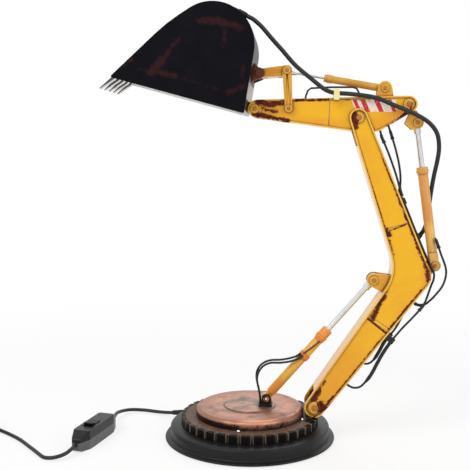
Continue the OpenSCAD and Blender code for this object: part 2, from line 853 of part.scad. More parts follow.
module boom_hoses() {
    color(black) {
        tube(boom_hose_path(-hose_y, near_hang), hose_d, 8, [0, 1, 0]);
        tube(boom_hose_path(hose_y, far_hang), hose_d, 8, [0, 1, 0]);
        tube(side_hose_path, hose_d, 8, [0, 1, 0]);
    }
}

// Lift cylinder

lift_l = norm(lift_eye - lift_foot);

module lift_barrel() {
    color(barrel_paint)
        along(lift_foot, lift_eye)
            difference() {
                union() {
                    eye_blank(0, 4.7, eye_half);
                    round_x(3, 10, eye_half);
                    round_x(7.4, 82, lift_r);
                }
                round_x(14, 90, lift_r - 1.2);
                eye_bore(0, base_pin_r + run_fit);
            }
}

module lift_gland() {
    color(barrel_paint)
        along(lift_foot, lift_eye)
            difference() {
                union() {
                    round_x(82, 97, 5.6);
                    round_x(85, 88, 6.1);
                }
                round_x(80, 100, lift_rod_r + run_fit);
            }
}

module lift_hose_band() {
    color([0.85, 0.4, 0.12])
        along(lift_foot, lift_eye)
            difference() {
                round_x(56.5, 62.5, lift_r + 1);
                round_x(50, 70, lift_r);
            }
}

module lift_hoses() {
    color(black) {
        tube(lift_hose_a, hose_d, 8, [0, 1, 0]);
        tube(lift_hose_b, hose_d, 8, [0, 1, 0]);
    }
}

module lift_rod() {
    color(steel)
        along(lift_foot, lift_eye)
            difference() {
                union() {
                    round_x(28, 34, lift_r - 1.2 - run_fit);
                    round_x(30, lift_l - 3, lift_rod_r);
                    round_x(lift_l - 12, lift_l - 4, 4);
                    eye_blank(lift_l, 6.4, eye_half);
                }
                eye_bore(lift_l, lift_pin_r + lift_eye_gap);
            }
}

// Arm

module arm_2d(inset) {
    polygon(belt_points(arm_belt, inset));
}

module arm_band() {
    color(paint) {
        plate_pair(arm_in, arm_half)
            difference() {
                arm_2d(0);
                arm_2d(sheet_t);
                translate(shade_pivot) circle(r = tip_boss_r);
            }
        plate_pair(tip_slot, arm_in)
            difference() {
                arm_2d(0);
                arm_2d(sheet_t);
                translate(shade_pivot) circle(r = tip_boss_r);
            }
        plate(-tip_slot, tip_slot)
            difference() {
                arm_2d(0);
                translate([-20, 300]) square([35, 80]);
                difference() {
                    arm_2d(sheet_t);
                    translate([-20, 300]) square([35 + sheet_t, 80]);
                }
            }
    }
}

module arm_plate_2d() {
    difference() {
        arm_2d(sheet_t);
        translate(shade_pivot) circle(r = tip_boss_r);
        translate(rocker_foot) circle(r = small_pin_r);
        translate(boom_top) circle(r = top_pin_r + run_fit);
        translate(arm_belt[3][0]) circle(r = lift_pin_r);
    }
}

module arm_near_plate() {
    color(paint) {
        plate(-arm_out + 0.4, -arm_in) arm_plate_2d();
        plate(-arm_out, -arm_out + 0.4)
            difference() {
                arm_plate_2d();
                seam([79, 330], [79.6, 346], 0.9);
            }
    }
}

module arm_far_plate() {
    color(paint) {
        plate(arm_in, arm_out - 0.4) arm_plate_2d();
        plate(arm_out - 0.4, arm_out)
            difference() {
                arm_plate_2d();
                seam([79, 330], [79.6, 346], 0.9);
            }
    }
}

module arm_tip_boss() {
    color(paint)
        difference() {
            for (s = [-1, 1])
                plate(s > 0 ? tip_slot : -arm_half - tip_boss_out,
                      s > 0 ? arm_half + tip_boss_out : -tip_slot)
                    translate(shade_pivot) circle(r = tip_boss_r);
            cross_bar(shade_pivot, lift_pin_r, -40, 40);
        }
}

module arm_rear_lug() {
    color(paint)
        plate_pair(ear_in, ear_out)
            difference() {
                ear_2d(arm_cyl_eye, 6.2, cyl_pin_r,
                       [[165, 338.4], [160.5, 338.6], [155.4, 326.4], [161.8, 320.6]]);
                arm_2d(0);
            }
}

module arm_pins() {
    color(copper) {
        pin(shade_pivot, lift_pin_r, arm_half + tip_boss_out, 4.4, 1.5);
        pin(rocker_foot, small_pin_r, rocker_out + 0.1, 3.8, 1.4);
        pin(arm_belt[3][0], lift_pin_r, arm_out, 5.5, 1.8);
        pin(arm_cyl_eye, cyl_pin_r, ear_out, 4.2, 1.4);
        pin(bucket_foot, small_pin_r, ear_out, 4, 1.4);
    }
}

module bucket_clevis() {
    color(paint)
        plate_pair(ear_in, ear_out)
            difference() {
                ear_2d(bucket_foot, 7, small_pin_r, [[126, 350], [142.6, 350]]);
                arm_2d(0);
            }
}

rail_y = -8.4;
rail_path = [
    [54.6, rail_y, 346], [56, rail_y, 354], [58, rail_y, 359], [61, rail_y, 361.2],
    [80, rail_y, 362], [102, rail_y, 362], [106, rail_y, 360.6], [108.6, rail_y, 356],
    [109.4, rail_y, 349]
];

module handrail() {
    color(black)
        difference() {
            tube(rail_path, 2, 8, [0, 1, 0]);
            plate(-20, 20) arm_2d(0);
        }
}

module cable_clip() {
    color([0.93, 0.88, 0.74])
        difference() {
            translate([83.2, -18.4, 349.2]) cube([5.6, 12, 10.4]);
            plate(-arm_half, arm_half) arm_2d(0);
            translate(clip_at) rotate([0, 90, 0]) cylinder(r = lead_d / 2 + 0.3, h = 40, center = true);
        }
}

module arm_hoses() {
    color(black)
        difference() {
            union() {
                tube(arm_hose_a, hose_d, 8, [0, 1, 0]);
                tube(arm_hose_b, hose_d, 8, [0, 1, 0]);
            }
            plate(-20, 20) arm_2d(0);
        }
}

module lamp_lead_arm() {
    color(black) tube(lead_arm_path, lead_d, 8, [0, 1, 0]);
}

// Arm cylinder

arm_l = norm(arm_cyl_eye - arm_cyl_foot);

module arm_barrel() {
    color(barrel_paint)
        along(arm_cyl_foot, arm_cyl_eye)
            difference() {
                union() {
                    eye_blank(0, 6, 6.4);
                    translate([0, -6.4, -4.4]) cube([13, 12.8, 8.8]);
                    round_x(10, 93, stick_r);
                }
                eye_blank(0, 7.6, 3.9);
                translate([-10, -3.9, -10]) cube([17, 7.8, 20]);
                round_x(17, 100, stick_r - 1.2);
                eye_bore(0, cyl_pin_r + run_fit);
            }
}

module arm_gland() {
    color(barrel_paint)
        along(arm_cyl_foot, arm_cyl_eye)
            difference() {
                union() {
                    round_x(93, 100, 5.7);
                    round_x(94.5, 97, 6.2);
                }
                round_x(90, 110, stick_rod_r + run_fit);
            }
}

module arm_rod() {
    color(steel)
        along(arm_cyl_foot, arm_cyl_eye)
            difference() {
                union() {
                    round_x(36, 42, stick_r - 1.2 - run_fit);
                    round_x(38, arm_l - 3, stick_rod_r);
                    round_x(arm_l - 11, arm_l - 4.4, 3.7);
                    eye_blank(arm_l, 6, eye_half);
                }
                eye_bore(arm_l, cyl_pin_r + stick_eye_gap);
            }
}

// Bucket linkage

bucket_l = norm(rocker_top - bucket_foot);

module bucket_barrel() {
    color(barrel_paint)
        along(bucket_foot, rocker_top)
            difference() {
                union() {
                    eye_blank(0, 5.4, eye_half);
                    round_x(3, 61, bucket_r);
                    round_x(53, 58, bucket_r + 0.5);
                }
                round_x(12, 56, bucket_r - 1);
                round_x(50, 70, bucket_rod_r + run_fit);
                eye_bore(0, small_pin_r + run_fit);
            }
}

module bucket_rod() {
    color(steel)
        along(bucket_foot, rocker_top)
            difference() {
                union() {
                    round_x(30, 35, bucket_r - 1 - run_fit);
                    round_x(32, bucket_l - 3, bucket_rod_r);
                    round_x(bucket_l - 10, bucket_l - 3.6, 2.6);
                    eye_blank(bucket_l, 4.8, eye_half);
                }
                eye_bore(bucket_l, link_pin_r + bucket_eye_gap);
            }
}

module rocker_links() {
    color(paint)
        plate_pair(rocker_in, rocker_out)
            difference() {
                polygon(belt_points([[rocker_top, 4.6], [rocker_foot, 3.8]], 0));
                translate(rocker_top) circle(r = link_pin_r);
                translate(rocker_foot) circle(r = small_pin_r + run_fit);
            }
}

module rocker_pin() {
    color(copper) pin(rocker_top, link_pin_r, rocker_out, 3.8, 1.4);
}

module bucket_link() {
    half = rocker_in - 0.6;
    color(paint)
        difference() {
            plate(-half, half)
                polygon(belt_points([[rocker_top, 5.2], [link_eye, 4.2]], 0));
            translate([rocker_top[0] - 8.4, -ear_in, 360]) cube([30, 2 * ear_in, 40]);
            translate([link_eye[0] - 20, -ear_in, 360]) cube([28.4, 2 * ear_in, 40]);
            cross_bar(rocker_top, link_pin_r + run_fit, -40, 40);
            cross_bar(link_eye, link_pin_r + bucket_eye_gap, -40, 40);
        }
}

// Shade

module shade_2d(inset) {
    polygon(belt_points(shade_belt, inset));
}

module shade_near_side() {
    color(black) plate(-shade_w / 2, -shade_in) shade_2d(0);
}

module shade_far_side() {
    color(black) plate(shade_in, shade_w / 2) shade_2d(0);
}

wrap_z = 366;

module shade_wrap() {
    along_under = perp(under_n) * 20;
    deep = -1.8;
    color(black)
        difference() {
            plate(-shade_in, shade_in)
                difference() {
                    shade_2d(0);
                    shade_2d(shade_t);
                    translate([-30, wrap_z - 80]) square([60, 80]);
                    polygon([
                        shade_lip[0] + under_n * 12 - along_under,
                        shade_heel[0] + under_n * 12 + along_under,
                        shade_heel[0] + under_n * deep + along_under,
                        shade_lip[0] + under_n * deep - along_under
                    ]);
                }
            holder_place() translate([0, 0, -5]) cylinder(r = stem_r + run_fit, h = 20);
        }
}

// The lamp holder's own axis: Z points out of the round top, from the inner face of the sheet.
module holder_place() {
    translate([holder_seat[0], 0, holder_seat[1]])
        rotate([0, 90 - holder_a, 0])
            children();
}

module shade_teeth() {
    pitch = (2 * shade_in - shade_tooth_w) / (shade_teeth_n - 1);
    color(steel)
        for (i = [0 : shade_teeth_n - 1])
            translate([0, (i - (shade_teeth_n - 1) / 2) * pitch, 0])
                plate(-shade_tooth_w / 2, shade_tooth_w / 2)
                    polygon([
                        lip_at(-9, -shade_t), lip_at(1, -shade_t), lip_at(shade_tooth_out, -0.8),
                        lip_at(shade_tooth_out, -1.6), lip_at(1, -4.4), lip_at(-9, -3.6)
                    ]);
}

module shade_hinge_bar() {
    color(black) {
        plate(-shade_in, shade_in)
            polygon([shade_back(338.6, -2), shade_back(338.6, 0), shade_back(349, 0),
                     shade_back(349, -2)]);
        plate(-6, 6)
            difference() {
                polygon(concat(
                    [shade_back(348, -0.5), shade_back(338.8, -0.5)],
                    arc_points(shade_pivot, 6.2, -80, 80)
                ));
                translate(shade_pivot) circle(r = lift_pin_r + run_fit);
            }
    }
}

module shade_link_bracket() {
    low = 367.6;
    high = 385.4;
    color([0.3, 0.16, 0.1]) {
        plate(-rocker_out, rocker_out)
            polygon([shade_back(low, 0), shade_back(low, 1.2), shade_back(high, 1.2),
                     shade_back(high, 0)]);
        plate_pair(rocker_in, rocker_out)
            difference() {
                polygon(concat(
                    [shade_back(high, 0.5), shade_back(low, 0.5)],
                    arc_points(link_eye, 5.5, -70, 90)
                ));
                translate(link_eye) circle(r = link_pin_r);
            }
        pin(link_eye, link_pin_r, rocker_out, 3.6, 1.2);
    }
}

module lamp_holder() {
    color([0.9, 0.89, 0.86])
        holder_place()
            rotate_extrude()
                polygon([
                    [2.6, stem_up], [stem_r, stem_up], [stem_r, -5], [11, -5], [12.5, -7], [12.5, -20],
                    [14.5, -20],
                    [14.5, -23], [13, -23], [13, -42], [8.6, -42], [8.6, -14], [2.6, -14]
                ]);
}

module bulb() {
    r = 17.5;
    z = -62;
    color([0.97, 0.96, 0.9])
        holder_place()
            rotate_extrude()
                polygon(concat(
                    [[3, -16], [6.8, -18], [6.8, -40], [8, -42.4]],
                    [for (a = [55 : -10 : -85]) [r * cos(a), z + r * sin(a)]],
                    [[0, z - r], [0, z - r + 1.2]],
                    [for (a = [-80 : 10 : 60]) [(r - 1.2) * cos(a), z + (r - 1.2) * sin(a)]],
                    [[5.6, -41], [5.6, -19], [3, -18]]
                ));
}

module lead_elbow() {
    a = holder_seat + holder_n * elbow_up;
    color(black)
        difference() {
            union() {
                holder_place()
                    translate([0, 0, shade_t])
                        cylinder(r = 5.8, h = elbow_up + 1.4 - shade_t);
                translate([a[0], 0, a[1]])
                    rotate([0, -angle_of(elbow_dir), 0])
                        round_x(0, elbow_l, 2.9);
            }
            holder_place() translate([0, 0, -1]) cylinder(r = stem_r, h = stem_up + 1);
        }
}

module lamp_lead_shade() {
    color(black) tube(lead_shade_path, lead_d, 8, [0, 1, 0]);
}

// Drawing
base_casting();
base_pad();
gear_ring();
turret_drum();
stack_bolt();
lift_bracket();
boom_foot_bracket();
base_pins();
cord_gland();
cord_lead();
switch_lower();
switch_upper();
cord_tail();
cord_coil();
cord_tie();
plug_body();
plug_pins();
switch_rocker();
boom_band();
boom_near_plate();
boom_far_plate();
boom_lugs();
boom_pins();
boom_cable_fittings();
boom_hoses();
lift_barrel();
lift_gland();
lift_hose_band();
lift_hoses();
lift_rod();
arm_band();
arm_near_plate();
arm_far_plate();
arm_tip_boss();
arm_rear_lug();
arm_pins();
bucket_clevis();
handrail();
cable_clip();
arm_hoses();
lamp_lead_arm();
arm_barrel();
arm_gland();
arm_rod();
bucket_barrel();
bucket_rod();
rocker_links();
rocker_pin();
bucket_link();
shade_near_side();
shade_far_side();
shade_wrap();
shade_teeth();
shade_hinge_bar();
shade_link_bracket();
lamp_holder();
bulb();
lead_elbow();
lamp_lead_shade();
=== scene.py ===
"""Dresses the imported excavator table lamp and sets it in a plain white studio."""

import logging
import math
from dataclasses import dataclass, field
from enum import Enum
from functools import reduce
from operator import or_
from typing import Any, Callable, Iterable, Sequence, Union

import bpy
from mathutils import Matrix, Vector


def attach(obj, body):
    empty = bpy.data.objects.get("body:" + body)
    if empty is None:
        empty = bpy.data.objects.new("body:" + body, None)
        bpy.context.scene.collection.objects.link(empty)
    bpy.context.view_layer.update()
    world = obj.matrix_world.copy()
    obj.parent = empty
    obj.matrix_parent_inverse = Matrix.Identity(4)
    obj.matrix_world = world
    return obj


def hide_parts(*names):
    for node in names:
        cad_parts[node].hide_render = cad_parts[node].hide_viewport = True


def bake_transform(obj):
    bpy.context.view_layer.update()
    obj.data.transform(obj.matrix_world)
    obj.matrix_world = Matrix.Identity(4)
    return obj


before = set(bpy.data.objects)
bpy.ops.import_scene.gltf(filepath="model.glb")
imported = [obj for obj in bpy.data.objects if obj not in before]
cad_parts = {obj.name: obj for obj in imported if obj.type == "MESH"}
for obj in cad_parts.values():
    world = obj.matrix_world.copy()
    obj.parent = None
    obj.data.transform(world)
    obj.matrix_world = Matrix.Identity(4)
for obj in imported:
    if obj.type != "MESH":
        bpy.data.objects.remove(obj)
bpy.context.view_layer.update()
LOG = logging.getLogger("lamp")
MM = 0.001
WELD_GAP = 0.00001
SOFT_EDGE = 0.3 * MM
SHARP_ANGLE = math.radians(40)
Point = tuple[float, float, float]
Spot = tuple[float, float]
Rgba = tuple[float, float, float, float]


class Side(Enum):
    """The two sides of the arm's plane."""

    NEAR = -1
    FAR = 1


class Grain(Enum):
    """Surface textures of moulded and cast pieces: noise scale per metre and bump depth in metres."""

    SMOOTH = (900.0, 0.00003)
    SPARK = (2600.0, 0.00006)
    CAST = (1300.0, 0.00012)
    FELT = (4200.0, 0.00025)


def tint(code: str) -> Rgba:
    """A colour written as a six-figure code, as linear light.

    Args:
        code: the colour, such as "#F0B428".

    Returns:
        Red, green, blue and alpha.
    """
    parts = [int(code[i : i + 2], 16) / 255 for i in (1, 3, 5)]
    light = [c / 12.92 if c <= 0.04045 else ((c + 0.055) / 1.055) ** 2.4 for c in parts]
    return (light[0], light[1], light[2], 1.0)


def math_method(operation: str, swapped: bool = False) -> Callable[["Signal", "Value"], "Signal"]:
    """An operator of shader values.

    Args:
        operation: the Math node's operation.
        swapped: whether the other value comes first.

    Returns:
        The method, which adds the node.
    """

    def method(self: "Signal", other: "Value") -> "Signal":
        """Adds the Math node."""
        return self.sheet.math(operation, *((other, self) if swapped else (self, other)))

    return method


class Signal:
    """A shader value: wraps a node's output, and operators on it add Math nodes.

    Between masks, | is the greater and & the lesser. The result of % is never negative.
    """

    def __init__(self, sheet: "Sheet", socket: bpy.types.NodeSocket) -> None:
        """Keeps the tree that the value lives in and its socket."""
        self.sheet = sheet
        self.socket = socket

    __add__, __radd__ = math_method("ADD"), math_method("ADD", swapped=True)
    __sub__, __rsub__ = math_method("SUBTRACT"), math_method("SUBTRACT", swapped=True)
    __mul__, __rmul__ = math_method("MULTIPLY"), math_method("MULTIPLY", swapped=True)
    __truediv__, __mod__ = math_method("DIVIDE"), math_method("FLOORED_MODULO")
    __gt__, __lt__ = math_method("GREATER_THAN"), math_method("LESS_THAN")
    __or__, __and__ = math_method("MAXIMUM"), math_method("MINIMUM")

    def root(self) -> "Signal":
        """The square root of the value."""
        return self.sheet.math("SQRT", self)

    def size(self) -> "Signal":
        """The value without its sign."""
        return self.sheet.math("ABSOLUTE", self)


Value = Union[Signal, float]
Paint = Union[Signal, str]


class Sheet:
    """One node tree of a material or the world, and the ways to add nodes to it."""

    EDGE_RISE: Spot = (0.03, 0.22)
    EDGE_SAMPLES = 6
    HOLLOW_SAMPLES = 8

    def __init__(self, name: str, store: Any = None) -> None:
        """Starts an empty tree.

        Args:
            name: the material's or the world's name.
            store: where it is kept, which is bpy.data.materials unless it is said.
        """
        self.owner = (bpy.data.materials if store is None else store).new(name)
        self.owner.use_nodes = True
        self.tree = self.owner.node_tree
        self.tree.nodes.clear()
        coordinates = self.node("ShaderNodeTexCoord")
        self.place = self.out(coordinates, "Object")
        self.facing = self.out(coordinates, "Normal")
        self.x, self.y, self.z = self.split(self.place)

    def node(self, kind: str, sockets: dict[Any, Any] | None = None, **settings: Any) -> bpy.types.Node:
        """Adds any node.

        Args:
            kind: the node's type.
            sockets: the values or links of its inputs, by name or place.
            settings: its settings, which are set first.

        Returns:
            The node.
        """
        made = self.tree.nodes.new(kind)
        for key, value in settings.items():
            setattr(made, key, value)
        for key, value in (sockets or {}).items():
            if isinstance(value, Signal):
                self.tree.links.new(value.socket, made.inputs[key])
            else:
                made.inputs[key].default_value = value
        return made

    def out(self, made: bpy.types.Node, key: str | int = 0) -> Signal:
        """One output of a node as a value."""
        return Signal(self, made.outputs[key])

    def math(self, operation: str, *values: Value) -> Signal:
        """A Math node on one value or two."""
        return self.out(self.node("ShaderNodeMath", dict(enumerate(values)), operation=operation))

    def vector(self, operation: str, *values: Any, key: str | int = 0) -> Signal:
        """One output of a Vector Math node."""
        return self.out(self.node("ShaderNodeVectorMath", dict(enumerate(values)), operation=operation), key)

    def split(self, vector: Signal) -> tuple[Signal, ...]:
        """The three parts of a vector."""
        made = self.node("ShaderNodeSeparateXYZ", {0: vector})
        return tuple(self.out(made, i) for i in range(3))

    def step(self, value: Value, low: float, high: float) -> Signal:
        """A soft rise from 0 at low to 1 at high, or a fall where low is above high."""
        sockets = {"Value": value, "From Min": low, "From Max": high}
        return self.out(self.node("ShaderNodeMapRange", sockets, interpolation_type="SMOOTHSTEP"))

    def fade(self, value: Value, span: Spot) -> Signal:
        """A soft rise or fall over a span in millimetres."""
        return self.step(value, span[0] * MM, span[1] * MM)

    def between(self, value: Signal, span: Spot) -> Signal:
        """1 where a value lies within a span in millimetres."""
        return (value > span[0] * MM) * (value < span[1] * MM)

    def radius(self, middle: Spot = (0.0, 0.0)) -> Signal:
        """The distance from an upright axis, in metres, where the axis is given in millimetres."""
        dx, dy = self.x - middle[0] * MM, self.y - middle[1] * MM
        return (dx * dx + dy * dy).root()

    def mix(self, factor: Value, a: Paint, b: Paint) -> Signal:
        """A colour between a and b, each a value or a six-figure code."""
        a, b = (tint(paint) if isinstance(paint, str) else paint for paint in (a, b))
        return self.out(self.node("ShaderNodeMix", {0: factor, 6: a, 7: b}, data_type="RGBA"), 2)

    def noise(
        self, scale: float, detail: float, rough: float, shift: float = 0.0, stretch: Point = (1, 1, 1)
    ) -> Signal:
        """Cloudy noise on the rest frame's coordinates.

        Args:
            scale: cells per metre.
            detail: octaves.
            rough: how strong the fine octaves are.
            shift: moves the pattern, so that two layers differ.
            stretch: a factor on the scale along each axis.

        Returns:
            The noise, about 0.2 to 0.8.
        """
        place = {"Vector": self.place, "Location": (shift, shift, shift), "Scale": stretch}
        moved = self.out(self.node("ShaderNodeMapping", place))
        sockets = {"Vector": moved, "Scale": scale, "Detail": detail, "Roughness": rough}
        return self.out(self.node("ShaderNodeTexNoise", sockets))

    def edges(self, radius: float) -> Signal:
        """A mask of a piece's edges, up to a radius in millimetres."""
        rounded = self.out(self.node("ShaderNodeBevel", {"Radius": radius * MM}, samples=self.EDGE_SAMPLES))
        plain = self.out(self.node("ShaderNodeNewGeometry"), "Normal")
        return self.step(1 - self.vector("DOT_PRODUCT", rounded, plain, key="Value"), *self.EDGE_RISE)

    def hollows(self, reach: float, low: float, high: float) -> Signal:
        """A mask of corners and recesses from ambient occlusion, where shadow and grime are painted.

        Args:
            reach: how far from a corner it reaches, in millimetres.
            low: the cover at which it starts.
            high: the cover at which it is full.

        Returns:
            The mask.
        """
        made = self.node("ShaderNodeAmbientOcclusion", {"Distance": reach * MM}, samples=self.HOLLOW_SAMPLES)
        return self.step(1 - self.out(made, "AO"), low, high)

    def stroke(self, rub: "Rub") -> Signal:
        """A soft stroke in the arm's plane, 1 on the stroke's line."""
        dx, dz = (rub.bx - rub.ax) * MM, (rub.bz - rub.az) * MM
        reach = max(dx * dx + dz * dz, 1e-12)
        px, pz = self.x - rub.ax * MM, self.z - rub.az * MM
        along = ((px * dx + pz * dz) / reach | 0.0) & 1.0
        ex, ez = px - along * dx, pz - along * dz
        return self.fade((ex * ex + ez * ez).root(), (rub.width, 0.0)) * rub.strength

    def strokes(self, rubs: Iterable["Rub"]) -> Signal | None:
        """The greatest of several strokes, or nothing where there are none."""
        masks = [self.stroke(rub) for rub in rubs]
        return reduce(or_, masks) if masks else None

    def seen(self) -> Signal:
        """1 for the rays that show a surface, and 0 for those that only light another one."""
        path = self.node("ShaderNodeLightPath")
        kinds = ("Camera", "Glossy", "Transmission")
        return reduce(or_, [self.out(path, f"Is {kind} Ray") for kind in kinds])

    def finish(
        self, colour: Signal, roughness: Value, bump: Signal, depth: float, **sockets: Value
    ) -> bpy.types.Material:
        """Ends the tree in a Principled shader.

        Args:
            colour: the base colour.
            roughness: its roughness.
            bump: the height of the surface, from 0 to 1.
            depth: how deep that height is, in metres.
            sockets: other sockets of the shader, with _ for a space in the name.

        Returns:
            The material.
        """
        named = {key.replace("_", " "): value for key, value in sockets.items()}
        named |= {"Base Color": colour, "Roughness": roughness}
        named["Normal"] = self.out(self.node("ShaderNodeBump", {"Height": bump, "Distance": depth}))
        shader = self.node("ShaderNodeBsdfPrincipled", named)
        self.node("ShaderNodeOutputMaterial", {"Surface": self.out(shader)})
        return self.owner


@dataclass(frozen=True)
class Rub:
    """A place that is rubbed or rusted: a stroke in the arm's plane, in millimetres of X and Z."""

    ax: float
    az: float
    bx: float
    bz: float
    width: float
    strength: float = 1.0


def rubs(*rows: Sequence[float]) -> tuple[Rub, ...]:
    """Rubs from rows of two ends, width and strength."""
    return tuple(Rub(*row) for row in rows)


@dataclass(frozen=True)
class Stripes:
    """The slanted red bars on a pale band at the rear of the arm's side plates, in millimetres."""

    bars: tuple[Spot, ...] = ((102.2, 106.0), (109.6, 114.6), (123.0, 127.8), (136.4, 140.2))
    front: float = 100.8
    rear: float = 145.0
    height: Spot = (337.6, 349.6)
    datum: float = 349.0
    slant: float = 0.45

    def lay(self, sheet: Sheet, colour: Signal) -> Signal:
        """Lays the stripes on a paint.

        Args:
            sheet: the material's tree.
            colour: the paint under them.

        Returns:
            The colour with the stripes.
        """
        along = sheet.x + (sheet.z - self.datum * MM) * self.slant
        red = reduce(or_, [sheet.between(along, bar) for bar in self.bars])
        inside = (along > self.front * MM) * (sheet.x < self.rear * MM) * sheet.between(sheet.z, self.height)
        worn = sheet.step(sheet.noise(420, 4, 0.6, 3.0), 0.3, 0.42)
        return sheet.mix(inside * worn, colour, sheet.mix(red, "#EFE0D8", "#C92832"))


@dataclass(frozen=True)
class AgedPaint:
    """Sprayed enamel that has blushed, with painted highlights on its edges, painted shadow and grime in its
    corners, and rust where it is rubbed.
    """

    name: str
    colour: str = "#E9AE0E"
    blush: str = "#E08F22"
    # Pale colour painted on the edges as a highlight.
    edge_highlight: str = "#F2DCB0"
    rust: str = "#43140F"
    blushing: float = 0.4
    edge_rust: float = 0.5
    # How strongly corners are darkened, as painted shadow and grime.
    dirt_and_shadow: float = 0.9
    roughness: float = 0.3
    gloss: float = 0.75
    rubs: tuple[Rub, ...] = ()
    stains: tuple[Rub, ...] = ()
    stripes: Stripes | None = None

    def make(self) -> bpy.types.Material:
        """The material."""
        sheet = Sheet(self.name)
        broad = sheet.noise(24, 3, 0.55)
        cloud = sheet.noise(95, 4, 0.6, 1.3)
        fine = sheet.noise(420, 4, 0.62, 0.4)
        speck = sheet.noise(1500, 2, 0.5)
        colour = sheet.mix(sheet.step(broad, 0.46, 0.74) * self.blushing, self.colour, self.blush)
        colour = sheet.mix(sheet.step(cloud, 0.55, 0.75) * 0.28, colour, self.blush)
        colour = sheet.mix(sheet.step(fine, 0.56, 0.8) * 0.14, colour, "#F6CE6C")
        stained = sheet.strokes(self.stains)
        if stained is not None:
            colour = sheet.mix(stained * (0.35 + cloud * 0.9), colour, self.blush)
        if self.stripes is not None:
            colour = self.stripes.lay(sheet, colour)
        edge = sheet.edges(0.9)
        rust = edge * sheet.step(cloud + fine * 0.35, 0.62, 0.78) * self.edge_rust
        # Painted highlight: the edges are mixed towards the pale colour, as if they caught the light.
        colour = sheet.mix(edge * 0.6, colour, self.edge_highlight)
        # Painted shadow and grime: corners and recesses darkened to brown by ambient occlusion.
        dirt_and_shadow = sheet.hollows(3.4, 0.1, 0.45) * self.dirt_and_shadow
        colour = sheet.mix((dirt_and_shadow * (0.6 + cloud * 0.6)) & 1.0, colour, "#4A1E0E")
        rubbed = sheet.strokes(self.rubs)
        if rubbed is not None:
            patch = sheet.noise(230, 5, 0.7, 2.2)
            ragged = rubbed + (fine - 0.5) * 0.8 + (patch - 0.5) * 2.2
            colour = sheet.mix(sheet.step(rubbed, 0.0, 0.8) * (0.2 + patch * 0.7), colour, "#A85A1C")
            rust = rust | (sheet.step(ragged, 0.4, 0.62) * sheet.step(rubbed, 0.04, 0.3))
        colour = sheet.mix(rust, colour, sheet.mix(sheet.step(fine, 0.4, 0.66), self.rust, "#6E2C14"))
        roughness = self.roughness + fine * 0.16 + rust * 0.32 + dirt_and_shadow * 0.15
        height = fine * 0.35 + speck * 0.25 - rust * (0.25 + fine * 0.4)
        coat = {"Coat_Weight": self.gloss * (1 - rust), "Coat_IOR": 1.32, "Coat_Roughness": 0.09}
        return sheet.finish(colour, roughness, height, 0.00016, Specular_IOR_Level=0.2, **coat)


@dataclass(frozen=True)
class CastIron:
    """Dark painted iron with a fine grain, and brown or pale where it is worn."""

    name: str
    colour: str
    shadow: str
    worn: str = "#5E5650"
    bloom: str = "#2C2926"
    grain: Grain = Grain.CAST
    roughness: float = 0.4
    gleam: float = 0.22
    chipped: float = 0.6

    def surface(self, sheet: Sheet, colour: Signal, cloud: Signal, fine: Signal) -> Signal:
        """The worn edges and the bloom.

        Args:
            sheet: the material's tree.
            colour: the paint under them.
            cloud: the broad noise.
            fine: the fine noise.

        Returns:
            The colour with them.
        """
        edge = sheet.edges(0.8) * sheet.step(fine, 0.36, 0.6)
        colour = sheet.mix(edge * self.chipped, colour, self.worn)
        return sheet.mix(sheet.step(fine, 0.62, 0.8) * 0.4, colour, self.bloom)

    def make(self) -> bpy.types.Material:
        """The material."""
        sheet = Sheet(self.name)
        scale, depth = self.grain.value
        cloud = sheet.noise(60, 4, 0.6)
        fine = sheet.noise(520, 4, 0.6, 0.7)
        grain = sheet.noise(scale, 3, 0.6)
        colour = sheet.mix(sheet.step(cloud, 0.4, 0.7) * 0.6, self.colour, self.shadow)
        colour = self.surface(sheet, colour, cloud, fine)
        roughness = self.roughness + (fine - 0.5) * 0.3
        return sheet.finish(colour, roughness, grain * 0.6 + fine * 0.4, depth, Specular_IOR_Level=self.gleam)


@dataclass(frozen=True)
class RingIron(CastIron):
    """The toothed ring's iron: bare and brown on top, and pale in the slots between its teeth."""

    teeth: int = 36
    tooth_half: Spot = (4.3, 4.9)
    slot_r: Spot = (65.0, 66.2)
    top_r: Spot = (68.0, 66.2)

    def surface(self, sheet: Sheet, colour: Signal, cloud: Signal, fine: Signal) -> Signal:
        """The bare top, the worn edges and the slots; for the arguments see CastIron."""
        flat = sheet.step(sheet.split(sheet.facing)[2], 0.5, 0.9) * sheet.fade(sheet.radius(), self.top_r)
        bare = sheet.mix(sheet.step(fine, 0.4, 0.62), "#5A463C", "#7C6050")
        colour = sheet.mix(flat * (0.55 + cloud * 0.7), colour, bare)
        colour = super().surface(sheet, colour, cloud, fine)
        pitch = 2 * math.pi / self.teeth
        out = sheet.radius()
        place = (sheet.math("ARCTAN2", sheet.y, sheet.x) / pitch + 0.5) % 1.0 - 0.5
        # The walls and floors of the slots between the teeth are painted pale.
        slots = sheet.fade((place * pitch * out).size(), self.tooth_half) * sheet.fade(out, self.slot_r)
        return sheet.mix(slots * (0.6 + fine * 0.6), colour, "#7E6E62")


